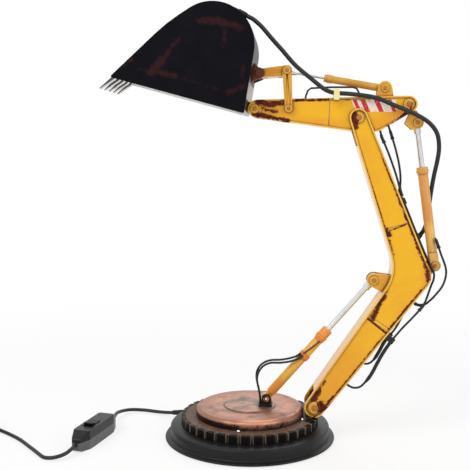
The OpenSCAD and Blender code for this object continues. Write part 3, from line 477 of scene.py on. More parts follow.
@dataclass(frozen=True)
class AgedCopper:
    """Copper that has gone brown and green-grey in patches, with painted shadow on its wall and in its
    hollows, and a painted highlight at the front of its lip.

    The radii, heights and spans are in millimetres, and a mask fades in from a span's first number.
    """

    name: str
    colour: str = "#B67E66"
    pale: str = "#DE9878"
    dark: str = "#260D0B"
    lip_r: float = 53.6
    lip: Spot = (3.4, 0.4)
    groove_r: float = 27.0
    groove: Spot = (1.6, 0.2)
    grey_r: Spot = (46.0, 18.0)
    outer_r: Spot = (38.0, 51.0)
    shaded_x: Spot = (8.0, -38.0)
    shaded_z: Spot = (32.5, 25.5)
    lit: Spot = (12.0, -53.0)
    lit_r: Spot = (26.0, 5.0)

    def make(self) -> bpy.types.Material:
        """The material."""
        sheet = Sheet(self.name)
        cloud = sheet.noise(34, 4, 0.62)
        blot = sheet.noise(85, 5, 0.65, 2.1)
        fine = sheet.noise(620, 4, 0.65, 0.9)
        specks = sheet.noise(240, 5, 0.78, 3.3)
        out = sheet.radius()
        up = sheet.split(sheet.facing)[2]
        colour = sheet.mix(sheet.step(cloud, 0.38, 0.66), self.colour, "#A97F6D")
        colour = sheet.mix(sheet.step(blot, 0.5, 0.7) * 0.75, colour, "#7C6458")
        grey = sheet.fade(out, self.grey_r) * sheet.step(blot + fine * 0.3, 0.5, 0.72)
        colour = sheet.mix(grey * 0.85, colour, "#6B675C")
        colour = sheet.mix(sheet.step(fine, 0.5, 0.78) * 0.35, colour, self.pale)
        colour = sheet.mix(sheet.step(fine, 0.46, 0.3) * 0.6, colour, "#5E3B30")
        colour = sheet.mix(sheet.step(specks, 0.54, 0.68) * 0.62, colour, "#5C3E32")
        # Painted shadow on the upright wall: brown patches from the noise, and shade that deepens towards the
        # left and towards the bottom.
        wall = sheet.step(up, 0.55, 0.1)
        left, low = sheet.fade(sheet.x, self.shaded_x), sheet.fade(sheet.z, self.shaded_z)
        browned_and_shadowed = (0.04 + low * 0.5 + sheet.step(blot + specks, 0.88, 1.2) * 0.55 + left * 0.75) & 1.0
        colour = sheet.mix(wall * browned_and_shadowed, colour, self.dark)
        # Painted highlight: a glint at the lit spot on the front; the outer band of the top is darkened as
        # painted shade away from it, and the lip is painted pale, strongest at the glint.
        glint = sheet.fade(sheet.radius(self.lit), self.lit_r)
        outer = sheet.fade(out, self.outer_r) * (1 - wall) * (1 - glint)
        colour = sheet.mix(outer * 0.5, colour, "#6E4A3C")
        lip = sheet.fade((out - self.lip_r * MM).size(), self.lip) * sheet.step(up, 0.12, 0.5)
        colour = sheet.mix((lip * (0.05 + fine * 0.2 + glint * 0.6)) & 1.0, colour, self.pale)
        groove = sheet.fade((out - self.groove_r * MM).size(), self.groove)
        colour = sheet.mix(groove * 0.6, colour, "#5E2C20")
        # Painted shadow and grime: hollows darkened by ambient occlusion.
        dirt_and_shadow = sheet.hollows(5, 0.12, 0.6)
        colour = sheet.mix(dirt_and_shadow * 0.85, colour, "#24110D")
        metal = (0.5 + fine * 0.3 - dirt_and_shadow * 0.4 - wall * 0.25) | 0.0
        roughness = 0.34 + sheet.step(blot, 0.4, 0.75) * 0.24 + (fine - 0.5) * 0.2
        height = fine * 0.6 + blot * 0.4
        return sheet.finish(colour, roughness, height, 0.00018, Metallic=metal, Specular_IOR_Level=0.3)


@dataclass(frozen=True)
class BucketPaint:
    """Soot-black enamel outside, with dull rust showing through, and white enamel inside."""

    name: str
    rubs: tuple[Rub, ...]
    colour: str = "#08070E"
    rust: str = "#33171A"
    middle: Point = (-55.0, 0.0, 372.0)

    def make(self) -> bpy.types.Material:
        """The material. A face that looks towards the shade's middle is inside."""
        sheet = Sheet(self.name)
        cloud = sheet.noise(46, 4, 0.6)
        fine = sheet.noise(480, 4, 0.62, 0.6)
        patch = sheet.noise(150, 5, 0.68, 2.2)
        colour = sheet.mix(sheet.step(cloud, 0.4, 0.7) * 0.6, self.colour, "#0E0D14")
        colour = sheet.mix(sheet.step(fine, 0.56, 0.78) * 0.3, colour, "#17151A")
        rubbed = sheet.strokes(self.rubs)
        ragged = rubbed + (fine - 0.5) * 0.9 + (patch - 0.5) * 2.4
        edge = sheet.edges(1.0) * sheet.step(fine, 0.4, 0.62) * 0.6
        rust = edge | (sheet.step(ragged, 0.15, 1.05) * sheet.step(rubbed, 0.0, 0.7) * 0.85)
        colour = sheet.mix(rust, colour, self.rust)
        away = sheet.vector("SUBTRACT", sheet.place, tuple(v * MM for v in self.middle))
        inside = sheet.vector("DOT_PRODUCT", away, sheet.facing, key="Value") < 0.0
        white = sheet.mix(sheet.step(fine, 0.5, 0.8) * 0.3, "#F1F0EE", "#E2DFDA")
        colour = sheet.mix(inside, colour, white)
        roughness = 0.36 + rust * 0.3 + (fine - 0.5) * 0.25
        return sheet.finish(colour, roughness, fine * 0.6 + cloud * 0.4, 0.00016, Specular_IOR_Level=0.07)


@dataclass(frozen=True)
class BrightSteel:
    """Plated or bare steel with fine drawn scratches, tarnished where it is asked to be."""

    name: str
    colour: str = "#D9DADB"
    tarnish: str = "#8A7C70"
    tarnished: float = 0.15
    roughness: float = 0.16
    # Colour of the faces that look along Y, painted darker as shade.
    shadowed_cheeks: str | None = None

    def make(self) -> bpy.types.Material:
        """The material."""
        sheet = Sheet(self.name)
        drawn = sheet.noise(240, 4, 0.6, stretch=(1, 9, 1))
        blot = sheet.noise(140, 4, 0.65, 1.1)
        dull = sheet.step(blot, 0.46, 0.7) * self.tarnished
        colour = sheet.mix(dull, self.colour, self.tarnish)
        # Painted shade: the faces that look along Y are darkened against the pale steel of the other faces.
        if self.shadowed_cheeks is not None:
            across = sheet.split(sheet.facing)[1].size()
            colour = sheet.mix(sheet.step(across, 0.5, 0.8) * (0.7 + blot * 0.4), colour, self.shadowed_cheeks)
        # Painted shadow in the hollows.
        colour = sheet.mix(sheet.hollows(2.5, 0.25, 0.8) * 0.5, colour, "#3B3029")
        roughness = self.roughness + drawn * 0.12 + dull * 0.4
        return sheet.finish(colour, roughness, drawn, 0.00002, Metallic=1.0)


@dataclass(frozen=True)
class Moulded:
    """Moulded plastic, rubber or felt with its grain."""

    name: str
    colour: str
    worn: str
    roughness: float
    grain: Grain = Grain.SMOOTH
    gleam: float = 0.35

    def make(self) -> bpy.types.Material:
        """The material."""
        sheet = Sheet(self.name)
        scale, depth = self.grain.value
        grain = sheet.noise(scale, 3, 0.6)
        colour = sheet.mix(sheet.step(sheet.noise(130, 4, 0.6), 0.4, 0.7) * 0.3, self.colour, self.worn)
        colour = sheet.mix(sheet.edges(0.6) * 0.35, colour, self.worn)
        # Painted shadow in the hollows.
        colour = sheet.mix(sheet.hollows(2, 0.3, 0.9) * 0.3, colour, "#0B0B0C")
        roughness = self.roughness + (grain - 0.5) * 0.2
        return sheet.finish(colour, roughness, grain, depth, Specular_IOR_Level=self.gleam)


@dataclass(frozen=True)
class OpalGlass:
    """Opal glass of the bulb, with a faint cloud in it."""

    name: str

    def make(self) -> bpy.types.Material:
        """The material."""
        sheet = Sheet(self.name)
        cloud = sheet.noise(70, 3, 0.5)
        colour = sheet.mix(sheet.step(cloud, 0.4, 0.7) * 0.4, "#F4F1E6", "#E9E2CF")
        return sheet.finish(colour, 0.14 + cloud * 0.1, cloud, 0.00002, Coat_Weight=0.4)


BOOM_RUBS = rubs(
    (139, 174, 134.5, 152, 7.5, 0.95), (134.5, 152, 124.5, 130, 5.6, 0.9), (78, 64, 70, 52, 3.0, 0.72),
    (71, 53, 66, 45, 6.4, 0.95), (75, 42, 75, 33, 5.6, 0.85), (75, 34, 86.5, 48, 3.6, 0.8),
    (86.5, 48, 111, 80, 2.0, 0.62), (111, 80, 135.5, 112, 1.7, 0.58), (141, 119, 173, 160, 2.5, 0.72),
    (179.5, 170, 176, 188, 4.6, 0.75), (177, 186, 169, 204, 4.6, 0.85), (169, 204, 156, 234, 3.2, 0.8),
    (156, 234, 132, 292, 2.4, 0.6), (138, 220, 140, 216, 5.4, 0.95), (139, 219, 160, 228, 2.2, 0.7),
    (140, 212, 145, 196, 2.6, 0.6), (104, 316, 120, 270, 2.2, 0.6), (120, 270, 137, 220, 2.2, 0.65),
    (119, 131, 142, 113, 1.9, 1.1), (103.4, 335, 105, 323, 6.4, 0.95),
)
ARM_RUBS = rubs(
    (9, 347, 22, 345.5, 7.0, 0.95), (22, 346, 38, 346.8, 5.2, 0.9), (14, 341, 26, 338, 5.0, 0.75),
    (5, 336, 20, 333, 5.2, 0.95), (20, 333, 38, 328.8, 4.4, 0.95), (46, 349.6, 78, 349.6, 3.0, 0.8),
    (92, 349.8, 100, 349.8, 2.2, 0.5), (158, 341, 150, 330, 5.0, 0.95), (150, 330, 138, 322.6, 4.6, 0.95),
    (104, 330, 110, 326, 9.0, 0.7),
)
PIN_RUBS = rubs(
    (104.4, 334, 106, 328, 5.4, 0.9), (72.5, 44, 72.5, 29, 5.0, 0.95), (158.6, 341, 161, 346, 3.0, 0.6),
    (17.5, 42.5, 17.5, 42.5, 6.0, 0.9),
)
SHADE_RUBS = rubs(
    (-46, 422.7, -28, 422, 7.0, 0.9), (-28, 422, -7, 415.4, 8.0, 0.9), (-21, 417, -23, 398, 6.0, 0.6),
    (-66, 406, -83, 385, 6.5, 0.65), (-83, 385, -93, 375, 9.0, 0.95), (-94, 376, -70, 371, 6.0, 0.85),
    (-108, 379, -59, 367.4, 3.4, 0.5), (-59, 367.4, -22, 356, 3.4, 0.5), (-18, 355, -3, 361, 7.5, 0.65),
    (-7, 360, -4, 380, 5.0, 0.5), (-122, 380, -112, 387, 5.0, 0.8),
)
FLANGE_RUBS = rubs(
    (181, 172, 178, 190, 3.0, 0.6), (150, 116, 182, 165, 2.4, 0.6), (66, 26, 110, 62, 2.4, 0.7),
    (139, 222, 139, 214, 3.0, 0.7),
)
BOOM_STAINS = rubs(
    (74, 44, 104, 88, 26.0, 0.7), (178, 150, 182, 185, 12.0, 0.6), (158, 124, 180, 165, 8.0, 0.7),
    (113, 312, 138, 236, 7.0, 0.25),
)
ARM_STAINS = rubs(
    (128, 326, 156, 340, 12.0, 0.8), (10, 340, 44, 340, 9.0, 0.6), (50, 330, 92, 326, 8.0, 0.5)
)
LIFT_STAINS = rubs((21, 48, 31, 61, 7.0))
BARREL_STAINS = rubs((180, 232, 172, 288, 12.0, 0.9))


class Finishes:
    """Every finish of the lamp, each made once, by name."""

    ALL: tuple[Any, ...] = (
        AgedPaint("boom_paint", rubs=BOOM_RUBS, stains=BOOM_STAINS),
        # A paler yellow than the plates: the flange's own paint with a painted sheen in it.
        AgedPaint("flange_paint", "#EAB53A", rubs=FLANGE_RUBS, stains=BOOM_STAINS),
        AgedPaint("arm_paint", rubs=ARM_RUBS, stains=ARM_STAINS),
        AgedPaint("arm_plate_paint", rubs=ARM_RUBS, stains=ARM_STAINS, stripes=Stripes()),
        AgedPaint("link_paint", "#DDA02C", blushing=0.7, edge_rust=0.7),
        AgedPaint("barrel_paint", "#E0AA40", "#DC8430", edge_rust=0.3, stains=LIFT_STAINS),
        AgedPaint(
            "arm_barrel_paint", "#DFB05A", "#CE8440", blushing=0.3, edge_rust=0.3, stains=BARREL_STAINS
        ),
        AgedPaint("orange_paint", "#E07C28", "#C65A1E", "#F0A860", blushing=0.6),
        AgedPaint("pin_paint", "#D8A236", "#B9733A", "#EBD09A", blushing=0.7, dirt_and_shadow=1.0, rubs=PIN_RUBS),
        AgedPaint("stud_paint", "#B9752E", "#7A3A1C", "#D9A868", blushing=0.8, dirt_and_shadow=1.0, gloss=0.4),
        AgedPaint("gland_paint", "#E58F38", "#DB7428", "#F2B878", blushing=0.6),
        AgedPaint("stick_barrel_paint", "#CF9F45", "#BE8038", blushing=0.6, edge_rust=0.4),
        AgedPaint("rust_paint", "#6A3320", "#3A1A14", "#A0613A", blushing=0.8, edge_rust=0.9, gloss=0.2),
        CastIron("base_iron", "#151416", "#0C0B0D"),
        RingIron("ring_iron", "#0B0908", "#050404", "#A09080", "#241B17", gleam=0.06, chipped=0.5),
        CastIron("bracket_iron", "#0F0E0E", "#080808", "#5A4E44", "#2C2521", Grain.SPARK),
        AgedCopper("drum_copper"),
        BucketPaint("shade_enamel", SHADE_RUBS),
        BrightSteel("chrome"),
        BrightSteel("tooth_steel", "#D2D0CC", "#8E857A", 0.5, 0.26, shadowed_cheeks="#252226"),
        Moulded("cord_rubber", "#1E1E20", "#333335", 0.46),
        Moulded("hose_rubber", "#131418", "#24252A", 0.42),
        Moulded("switch_black", "#131315", "#2C2C30", 0.36, Grain.SPARK, gleam=0.25),
        Moulded("switch_grey", "#565558", "#737276", 0.45, Grain.SPARK),
        Moulded("white_plastic", "#E9E7E0", "#D8D4C8", 0.36),
        Moulded("cream_plastic", "#EBDC9C", "#DAC478", 0.42),
        Moulded("felt", "#242426", "#38383A", 0.95, Grain.FELT),
        OpalGlass("bulb_opal"),
    )

    def __init__(self) -> None:
        """Makes the materials."""
        self.made = {finish.name: finish.make() for finish in self.ALL}

    def __getitem__(self, name: str) -> bpy.types.Material:
        """The material of that name."""
        return self.made[name]


def smooth(points: Sequence[Point | Vector], count: int = 6) -> list[Vector]:
    """A smooth path through points.

    Args:
        points: the points, in millimetres.
        count: steps between two of them.

    Returns:
        The path in millimetres.
    """
    p = [Vector(v) for v in points]
    last = len(p) - 1
    path = []
    for i in range(last):
        a, b, c, d = p[max(i - 1, 0)], p[i], p[i + 1], p[min(i + 2, last)]
        square, cube = 2 * a - 5 * b + 4 * c - d, 3 * b - a - 3 * c + d
        for t in (k / count for k in range(count)):
            path.append(0.5 * (2 * b + (c - a) * t + square * t * t + cube * t * t * t))
    return path + [p[last]]


@dataclass(frozen=True)
class End:
    """An end of a cord or hose: its place in millimetres, and the way that the cord runs there."""

    at: Point | Vector
    way: Point | Vector


def route(start: End, between: Sequence[Point], end: End, d: float) -> list[Vector]:
    """A path that leaves and meets its two ends straight.

    Args:
        start: the end that it leaves.
        between: points that it passes, in millimetres.
        end: the end that it runs into.
        d: the cord's diameter.

    Returns:
        The path in millimetres.
    """
    a, b = Vector(start.at), Vector(end.at)
    first = a + Vector(start.way).normalized() * d
    last = b - Vector(end.way).normalized() * d
    return [a] + smooth([first, *between, last]) + [b]


def polar(r: float, degrees: float) -> Spot:
    """A plane point at a radius and an angle."""
    return r * math.cos(math.radians(degrees)), r * math.sin(math.radians(degrees))


def part_of(path: Sequence[Vector], start: float, length: float) -> list[Vector]:
    """The part of a path between two distances along it, for a sleeve on a hose.

    Args:
        path: the path in millimetres.
        start: where the part starts; from the path's end where it is negative.
        length: how long the part is.

    Returns:
        The part in millimetres.
    """
    marks = [0.0]
    for a, b in zip(path, path[1:]):
        marks.append(marks[-1] + (b - a).length)
    low = start if start >= 0 else marks[-1] + start

    def at(s: float) -> Vector:
        """The point at a distance along the path."""
        for k in range(len(path) - 1):
            if marks[k + 1] >= s:
                return path[k].lerp(path[k + 1], (s - marks[k]) / max(marks[k + 1] - marks[k], 1e-9))
        return path[-1]

    count = max(6, round(length / 2.5))
    return [at(low + length * k / count) for k in range(count + 1)]


def circle(axis: Vector, across: Vector, sides: int) -> list[Vector]:
    """Directions around an axis, from one across it."""
    other = axis.cross(across)
    turns = [2 * math.pi * k / sides for k in range(sides)]
    return [across * math.cos(a) + other * math.sin(a) for a in turns]


def skin(first: int, rings: int, sides: int) -> list[list[int]]:
    """The walls and the two ends over rings of points.

    Args:
        first: the number of the first ring's first point.
        rings: how many rings there are.
        sides: points of a ring.

    Returns:
        The faces.
    """
    starts = [first + i * sides for i in range(rings)]
    faces = []
    for start in starts[:-1]:
        for k in range(sides):
            a, b = start + k, start + (k + 1) % sides
            faces.append([a, b, b + sides, a + sides])
    return faces + [[first + k for k in reversed(range(sides))], [starts[-1] + k for k in range(sides)]]


def new_piece(
    name: str, points: Sequence[Point | Vector], faces: list[list[int]], rounded: Sequence[bool]
) -> bpy.types.Object:
    """Makes a piece and puts it in the scene.

    Args:
        name: its name.
        points: its points, in metres.
        faces: its faces.
        rounded: whether each face is shaded smooth.

    Returns:
        The piece.
    """
    mesh = bpy.data.meshes.new(name)
    mesh.from_pydata([tuple(p) for p in points], [], faces)
    mesh.polygons.foreach_set("use_smooth", rounded)
    mesh.update()
    made = bpy.data.objects.new(name, mesh)
    bpy.context.scene.collection.objects.link(made)
    return made


@dataclass(frozen=True)
class Length:
    """One length of a tube: its path and diameter, in millimetres."""

    path: Sequence[Vector]
    d: float


class Tube:
    """Round lengths of cord or hose in one mesh, each swept along its path without twist."""

    def __init__(self, name: str, lengths: Sequence[Length], sides: int = 16) -> None:
        """Builds the mesh.

        Args:
            name: the piece's name.
            lengths: the lengths that the mesh holds.
            sides: sides of the section.
        """
        self.paths = [[Vector(p) * MM for p in length.path] for length in lengths]
        points: list[Vector] = []
        faces: list[list[int]] = []
        for path, length in zip(self.paths, lengths):
            faces += skin(len(points), len(path), sides)
            points += self.rings(path, length.d * MM / 2, sides)
        self.piece = new_piece(name, points, faces, [len(face) == 4 for face in faces])

    @staticmethod
    def rings(path: Sequence[Vector], r: float, sides: int) -> list[Vector]:
        """The points of one length.

        Args:
            path: its middle line, in metres.
            r: radius.
            sides: sides of the section.

        Returns:
            The points, ring after ring.
        """
        last = len(path) - 1
        across = None
        points = []
        for i, centre in enumerate(path):
            t = (path[min(i + 1, last)] - path[max(i - 1, 0)]).normalized()
            across = t.orthogonal() if across is None else across - t * across.dot(t)
            across.normalize()
            points += [centre + way * r for way in circle(t, across, sides)]
        return points


@dataclass
class Assembly:
    """A sub-assembly: the CAD nodes that wear each finish, and the pieces that replace some nodes."""

    finishes: Finishes
    wear: dict[str, tuple[str, ...]] = field(default_factory=dict)

    def dress(self) -> None:
        """Gives every node its finish and a small round on its edges."""
        for name, nodes in self.wear.items():
            for piece in (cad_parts[node] for node in nodes):
                if not piece.material_slots:
                    piece.data.materials.append(None)
                for slot in piece.material_slots:
                    slot.material = self.finishes[name]
                self.soften(piece)
            LOG.info("%s: %s", name, ", ".join(nodes))

    @staticmethod
    def soften(piece: bpy.types.Object) -> None:
        """Welds a CAD node's facets and rounds its edges, in modifiers only."""
        piece.modifiers.new("weld", "WELD").merge_threshold = WELD_GAP
        bevel = piece.modifiers.new("soft_edges", "BEVEL")
        bevel.width, bevel.segments = SOFT_EDGE, 2
        bevel.limit_method, bevel.angle_limit = "ANGLE", SHARP_ANGLE
        bevel.use_clamp_overlap = bevel.harden_normals = True

    def settle(self, piece: bpy.types.Object, finish: str, slot: str, *nodes: str) -> bpy.types.Object:
        """Gives a new piece its finish, and hides the CAD nodes that it stands for.

        Args:
            piece: the piece.
            finish: its finish.
            slot: not used.
            nodes: the CAD nodes that it replaces.

        Returns:
            The piece.
        """
        piece.data.materials.append(self.finishes[finish])
        if nodes:
            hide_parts(*nodes)
        replaced = ", ".join(nodes) or "nothing"
        LOG.info("%s: %d points, replaces %s", piece.name, len(piece.data.vertices), replaced)
        return piece


LEAD_POINTS: tuple[Point, ...] = (
    (-99, 57.2, 4.2), (-110, 63.2, 2.9), (-121, 67, 2.8), (-131, 67.4, 3.2), (-139.6, 63.4, 4.4),
    (-146, 56, 5.6), (-149.6, 46.6, 7), (-151, 36, 8),
)
TAIL_POINTS: tuple[Point, ...] = (
    (-171.9, -72.4, 7.2), (-175.1, -78.8, 5.6), (-180.4, -82.8, 4.2), (-187, -84.3, 3), (-193.6, -82.8, 2.2),
    (-198.9, -78.8, 1.9), (-208, -67.9, 1.9), (-221, -52.4, 1.9), (-236, -35, 1.9), (-252, -20.2, 1.9),
    (-265, -9.8, 1.9), (-276, -2.4, 2.4),
)
PLUG_POINTS: tuple[Point, ...] = (
    (-313, -47.2, 16.2), (-306.6, -54.2, 14.2), (-301, -61.8, 11.4), (-296.6, -69.8, 8.8),
    (-293.8, -76.6, 7.3),
)


@dataclass
class MainsCord(Assembly):
    """The mains cord from the gland through the inline switch to its coil and plug, in millimetres."""

    d: float = 3.8
    body_r: float = 83.0
    gland_turn: float = 150.0
    gland_tilt: float = 11.0
    gland_l: float = 20.0
    gland_z: float = 10.0
    switch: Spot = (-160.2, -23.8)
    switch_turn: float = 76.4
    switch_half: float = 40.0
    switch_z: float = 8.0
    coil: Spot = (-304.0, -18.0)
    coil_r: float = 17.0
    coil_step: float = 4.8
    coil_rise: float = 4.6
    coil_turns: float = 2.25
    coil_climb: float = 0.5
    coil_layers: int = 4
    coil_points: int = 36
    coil_start: float = 55.0
    coil_low: float = 2.9
    plug: Spot = (-291.4, -84.5)
    plug_turn: float = -74.0
    plug_h: float = 13.7
    length_m: float = 1.8679

    def at_switch(self, along: float) -> Point:
        """A point on the switch's axis."""
        dx, dy = polar(along, self.switch_turn)
        return self.switch[0] + dx, self.switch[1] + dy, self.switch_z

    def at_plug(self, along: float) -> Point:
        """A point on the plug's axis."""
        dx, dy = polar(along, self.plug_turn)
        return self.plug[0] + dx, self.plug[1] + dy, self.plug_h / 2

    def coil_at(self, turn: float) -> Point:
        """A point of the coil: a layer turns in or out, and the half turn after it climbs.

        Args:
            turn: turns from the coil's start.

        Returns:
            The point in millimetres.
        """
        span = self.coil_turns + self.coil_climb
        layer = min(int(turn / span), self.coil_layers - 1)
        part = turn - layer * span
        done = min(part / self.coil_turns, 1.0)
        climb = max(part - self.coil_turns, 0.0) / self.coil_climb
        width = self.coil_step * self.coil_turns
        r = self.coil_r + width * (1 - done if layer % 2 == 0 else done)
        dx, dy = polar(r, self.coil_start + 360 * turn)
        return self.coil[0] + dx, self.coil[1] + dy, self.coil_low + self.coil_rise * (layer + climb)

    def path(self) -> list[Vector]:
        """The whole cord's route in millimetres."""
        out = Vector((*polar(1, self.switch_turn), 0))
        level, drop = polar(1, -self.gland_tilt)
        leave = Vector((*polar(level, self.gland_turn), drop))
        exit_at = Vector((*polar(self.body_r, self.gland_turn), self.gland_z)) + leave * self.gland_l
        lead = route(End(exit_at, leave), LEAD_POINTS, End(self.at_switch(self.switch_half), -out), self.d)
        turns = self.coil_layers * self.coil_turns + (self.coil_layers - 1) * self.coil_climb
        count = round(self.coil_points * turns)
        loops = [Vector(self.coil_at(turns * i / count)) for i in range(count + 1)]
        leaves = End(self.at_switch(-self.switch_half), -out)
        tail = route(leaves, TAIL_POINTS, End(loops[0], loops[1] - loops[0]), self.d)
        ending = smooth([loops[-1], *PLUG_POINTS, self.at_plug(-self.d)])
        return lead + tail + loops[1:] + ending[1:] + [Vector(self.at_plug(0))]

    def build(self) -> None:
        tube = Tube("mains_cord", [Length(self.path(), self.d)], sides=14)
        cord = self.settle(tube.piece, "cord_rubber", "cord", "cord_lead", "cord_tail", "cord_coil")
        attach(cord, "base")


NEAR_HANG: tuple[Spot, ...] = (
    (13.4, 8.6), (20, 9.6), (36, 8.9), (48.6, 7.8), (65.4, 7.5), (80, 8.6), (92.4, 10.7), (103, 12.9),
    (111, 13.8), (119, 13.5), (123, 12.7), (126.4, 10.4), (128.7, 7), (129.5, 3), (129.5, 0),
)
FAR_HANG: tuple[Spot, ...] = (
    (13.4, 3.6), (20, 3.4), (36, 3.8), (48.6, 6.4), (57, 7.5), (65.4, 7.5), (74, 7.6), (84, 9.4), (92, 10.6),
    (97, 10.6), (100.4, 9.9), (103.4, 8), (105.3, 5), (106, 1.6), (106, 0),
)
SIDE_POINTS: tuple[Point, ...] = (
    (192.4, -8.6, 196), (197.6, -10, 180), (195, -10.4, 165.6), (187.4, -8.8, 154), (181.7, -7, 147.4),
    (178.8, -6.2, 144.8), (174.9, -5.2, 143.2), (170.9, -4.4, 143.4),
)
ARM_NEAR: tuple[Point, ...] = (
    (129.4, -6, 321), (130.2, -6, 318.4), (131.8, -6.2, 312.4), (134, -6.6, 307.6), (140, -7.6, 293),
    (146.2, -9, 275.4), (149.6, -10.2, 263.4),
)
ARM_FAR: tuple[Point, ...] = (
    (138.9, 6, 326), (140.2, 6, 322), (142, 6.2, 316.8), (143.6, 6.4, 312), (147, 7, 301.4),
    (150.6, 8, 287.6), (152.6, 9, 275.4), (153, 10, 266.4), (152.4, 10.6, 259.4),
)
LIFT_A: tuple[Point, ...] = (
    (47.6, -5, 87.6), (39.5, -4.4, 85), (31.8, -3.5, 83.5), (23.6, -2.4, 82.8), (16.8, -1, 80.6),
    (11.6, 0.2, 76.6), (8.2, 1.1, 71.4), (6.9, 1.6, 65.4), (7.4, 1.7, 59.4), (9, 1.7, 52.6), (10.4, 1.6, 46),
)
LIFT_B: tuple[Point, ...] = (
    (49.8, -7.2, 85.6), (41.4, -6.8, 82.6), (31.8, -5.8, 80.9), (22.6, -4.6, 80.3), (16.2, -3.6, 77.8),
    (11.8, -2.8, 73.6), (9, -2.2, 68.4), (7.8, -1.8, 62.6), (8.4, -1.6, 56.4), (9.8, -1.6, 50),
    (10.8, -1.6, 44),
)
LEAD_UPPER: tuple[Point, ...] = (
    (3.4, -0.5, 429.8), (11.6, -2.6, 422.4), (22.6, -5.6, 409.4), (32, -8.2, 398.8), (45.6, -11, 383.2),
    (62.6, -13.6, 368.8), (69.6, -14.3, 363), (75.4, -14.8, 358.9),
)
LEAD_LOWER: tuple[Point, ...] = (
    (102, -15.4, 354.6), (123, -16, 351.4), (140, -16.6, 344.6), (156, -16.8, 338), (170, -15.6, 331.2),
    (179.6, -13, 324), (185.8, -10, 314.8), (188.2, -6, 302), (187.6, -1, 289), (185.4, 3.6, 274),
    (183.4, 7.6, 256), (181.6, 8.6, 238), (180, 7.9, 226.6),
)
SIDE_TOP = End((186.4, -6.4, 212), (0.5, -0.3, -0.8))
LIFT_A_TOP, LIFT_A_FOOT = End((52.7, -4.85, 90.7), (-0.866, -0.05, -0.5)), End((11.2, 1.6, 36), (0, 0, -1))
LIFT_B_TOP, LIFT_B_FOOT = End((55, -6.8, 88.75), (-0.855, -0.09, -0.51)), End((11.2, -1.6, 36), (0, 0, -1))
CLIP = End((86, -15, 356), (1, 0, -0.11))
LEAD_FOOT = End((174, 6, 214.6), (-0.6, 0, -0.8))


@dataclass(frozen=True)
class Jacket:
    """A sleeve or sheath on a hose and the short piece at its end, in millimetres.

    It starts that far along the hose, or from the hose's end where that is negative, and is thicker
    than the hose by the number called over.
    """

    start: float
    length: float = 7.0
    over: float = 0.9
    end_length: float = 2.0
    end_over: float = 1.6


NEAR_SHEATH = Jacket(-72, 46, 1.6, 3.0, 0.8)
FAR_SHEATH = Jacket(-50, 30, 1.6, 3.0, 0.8)


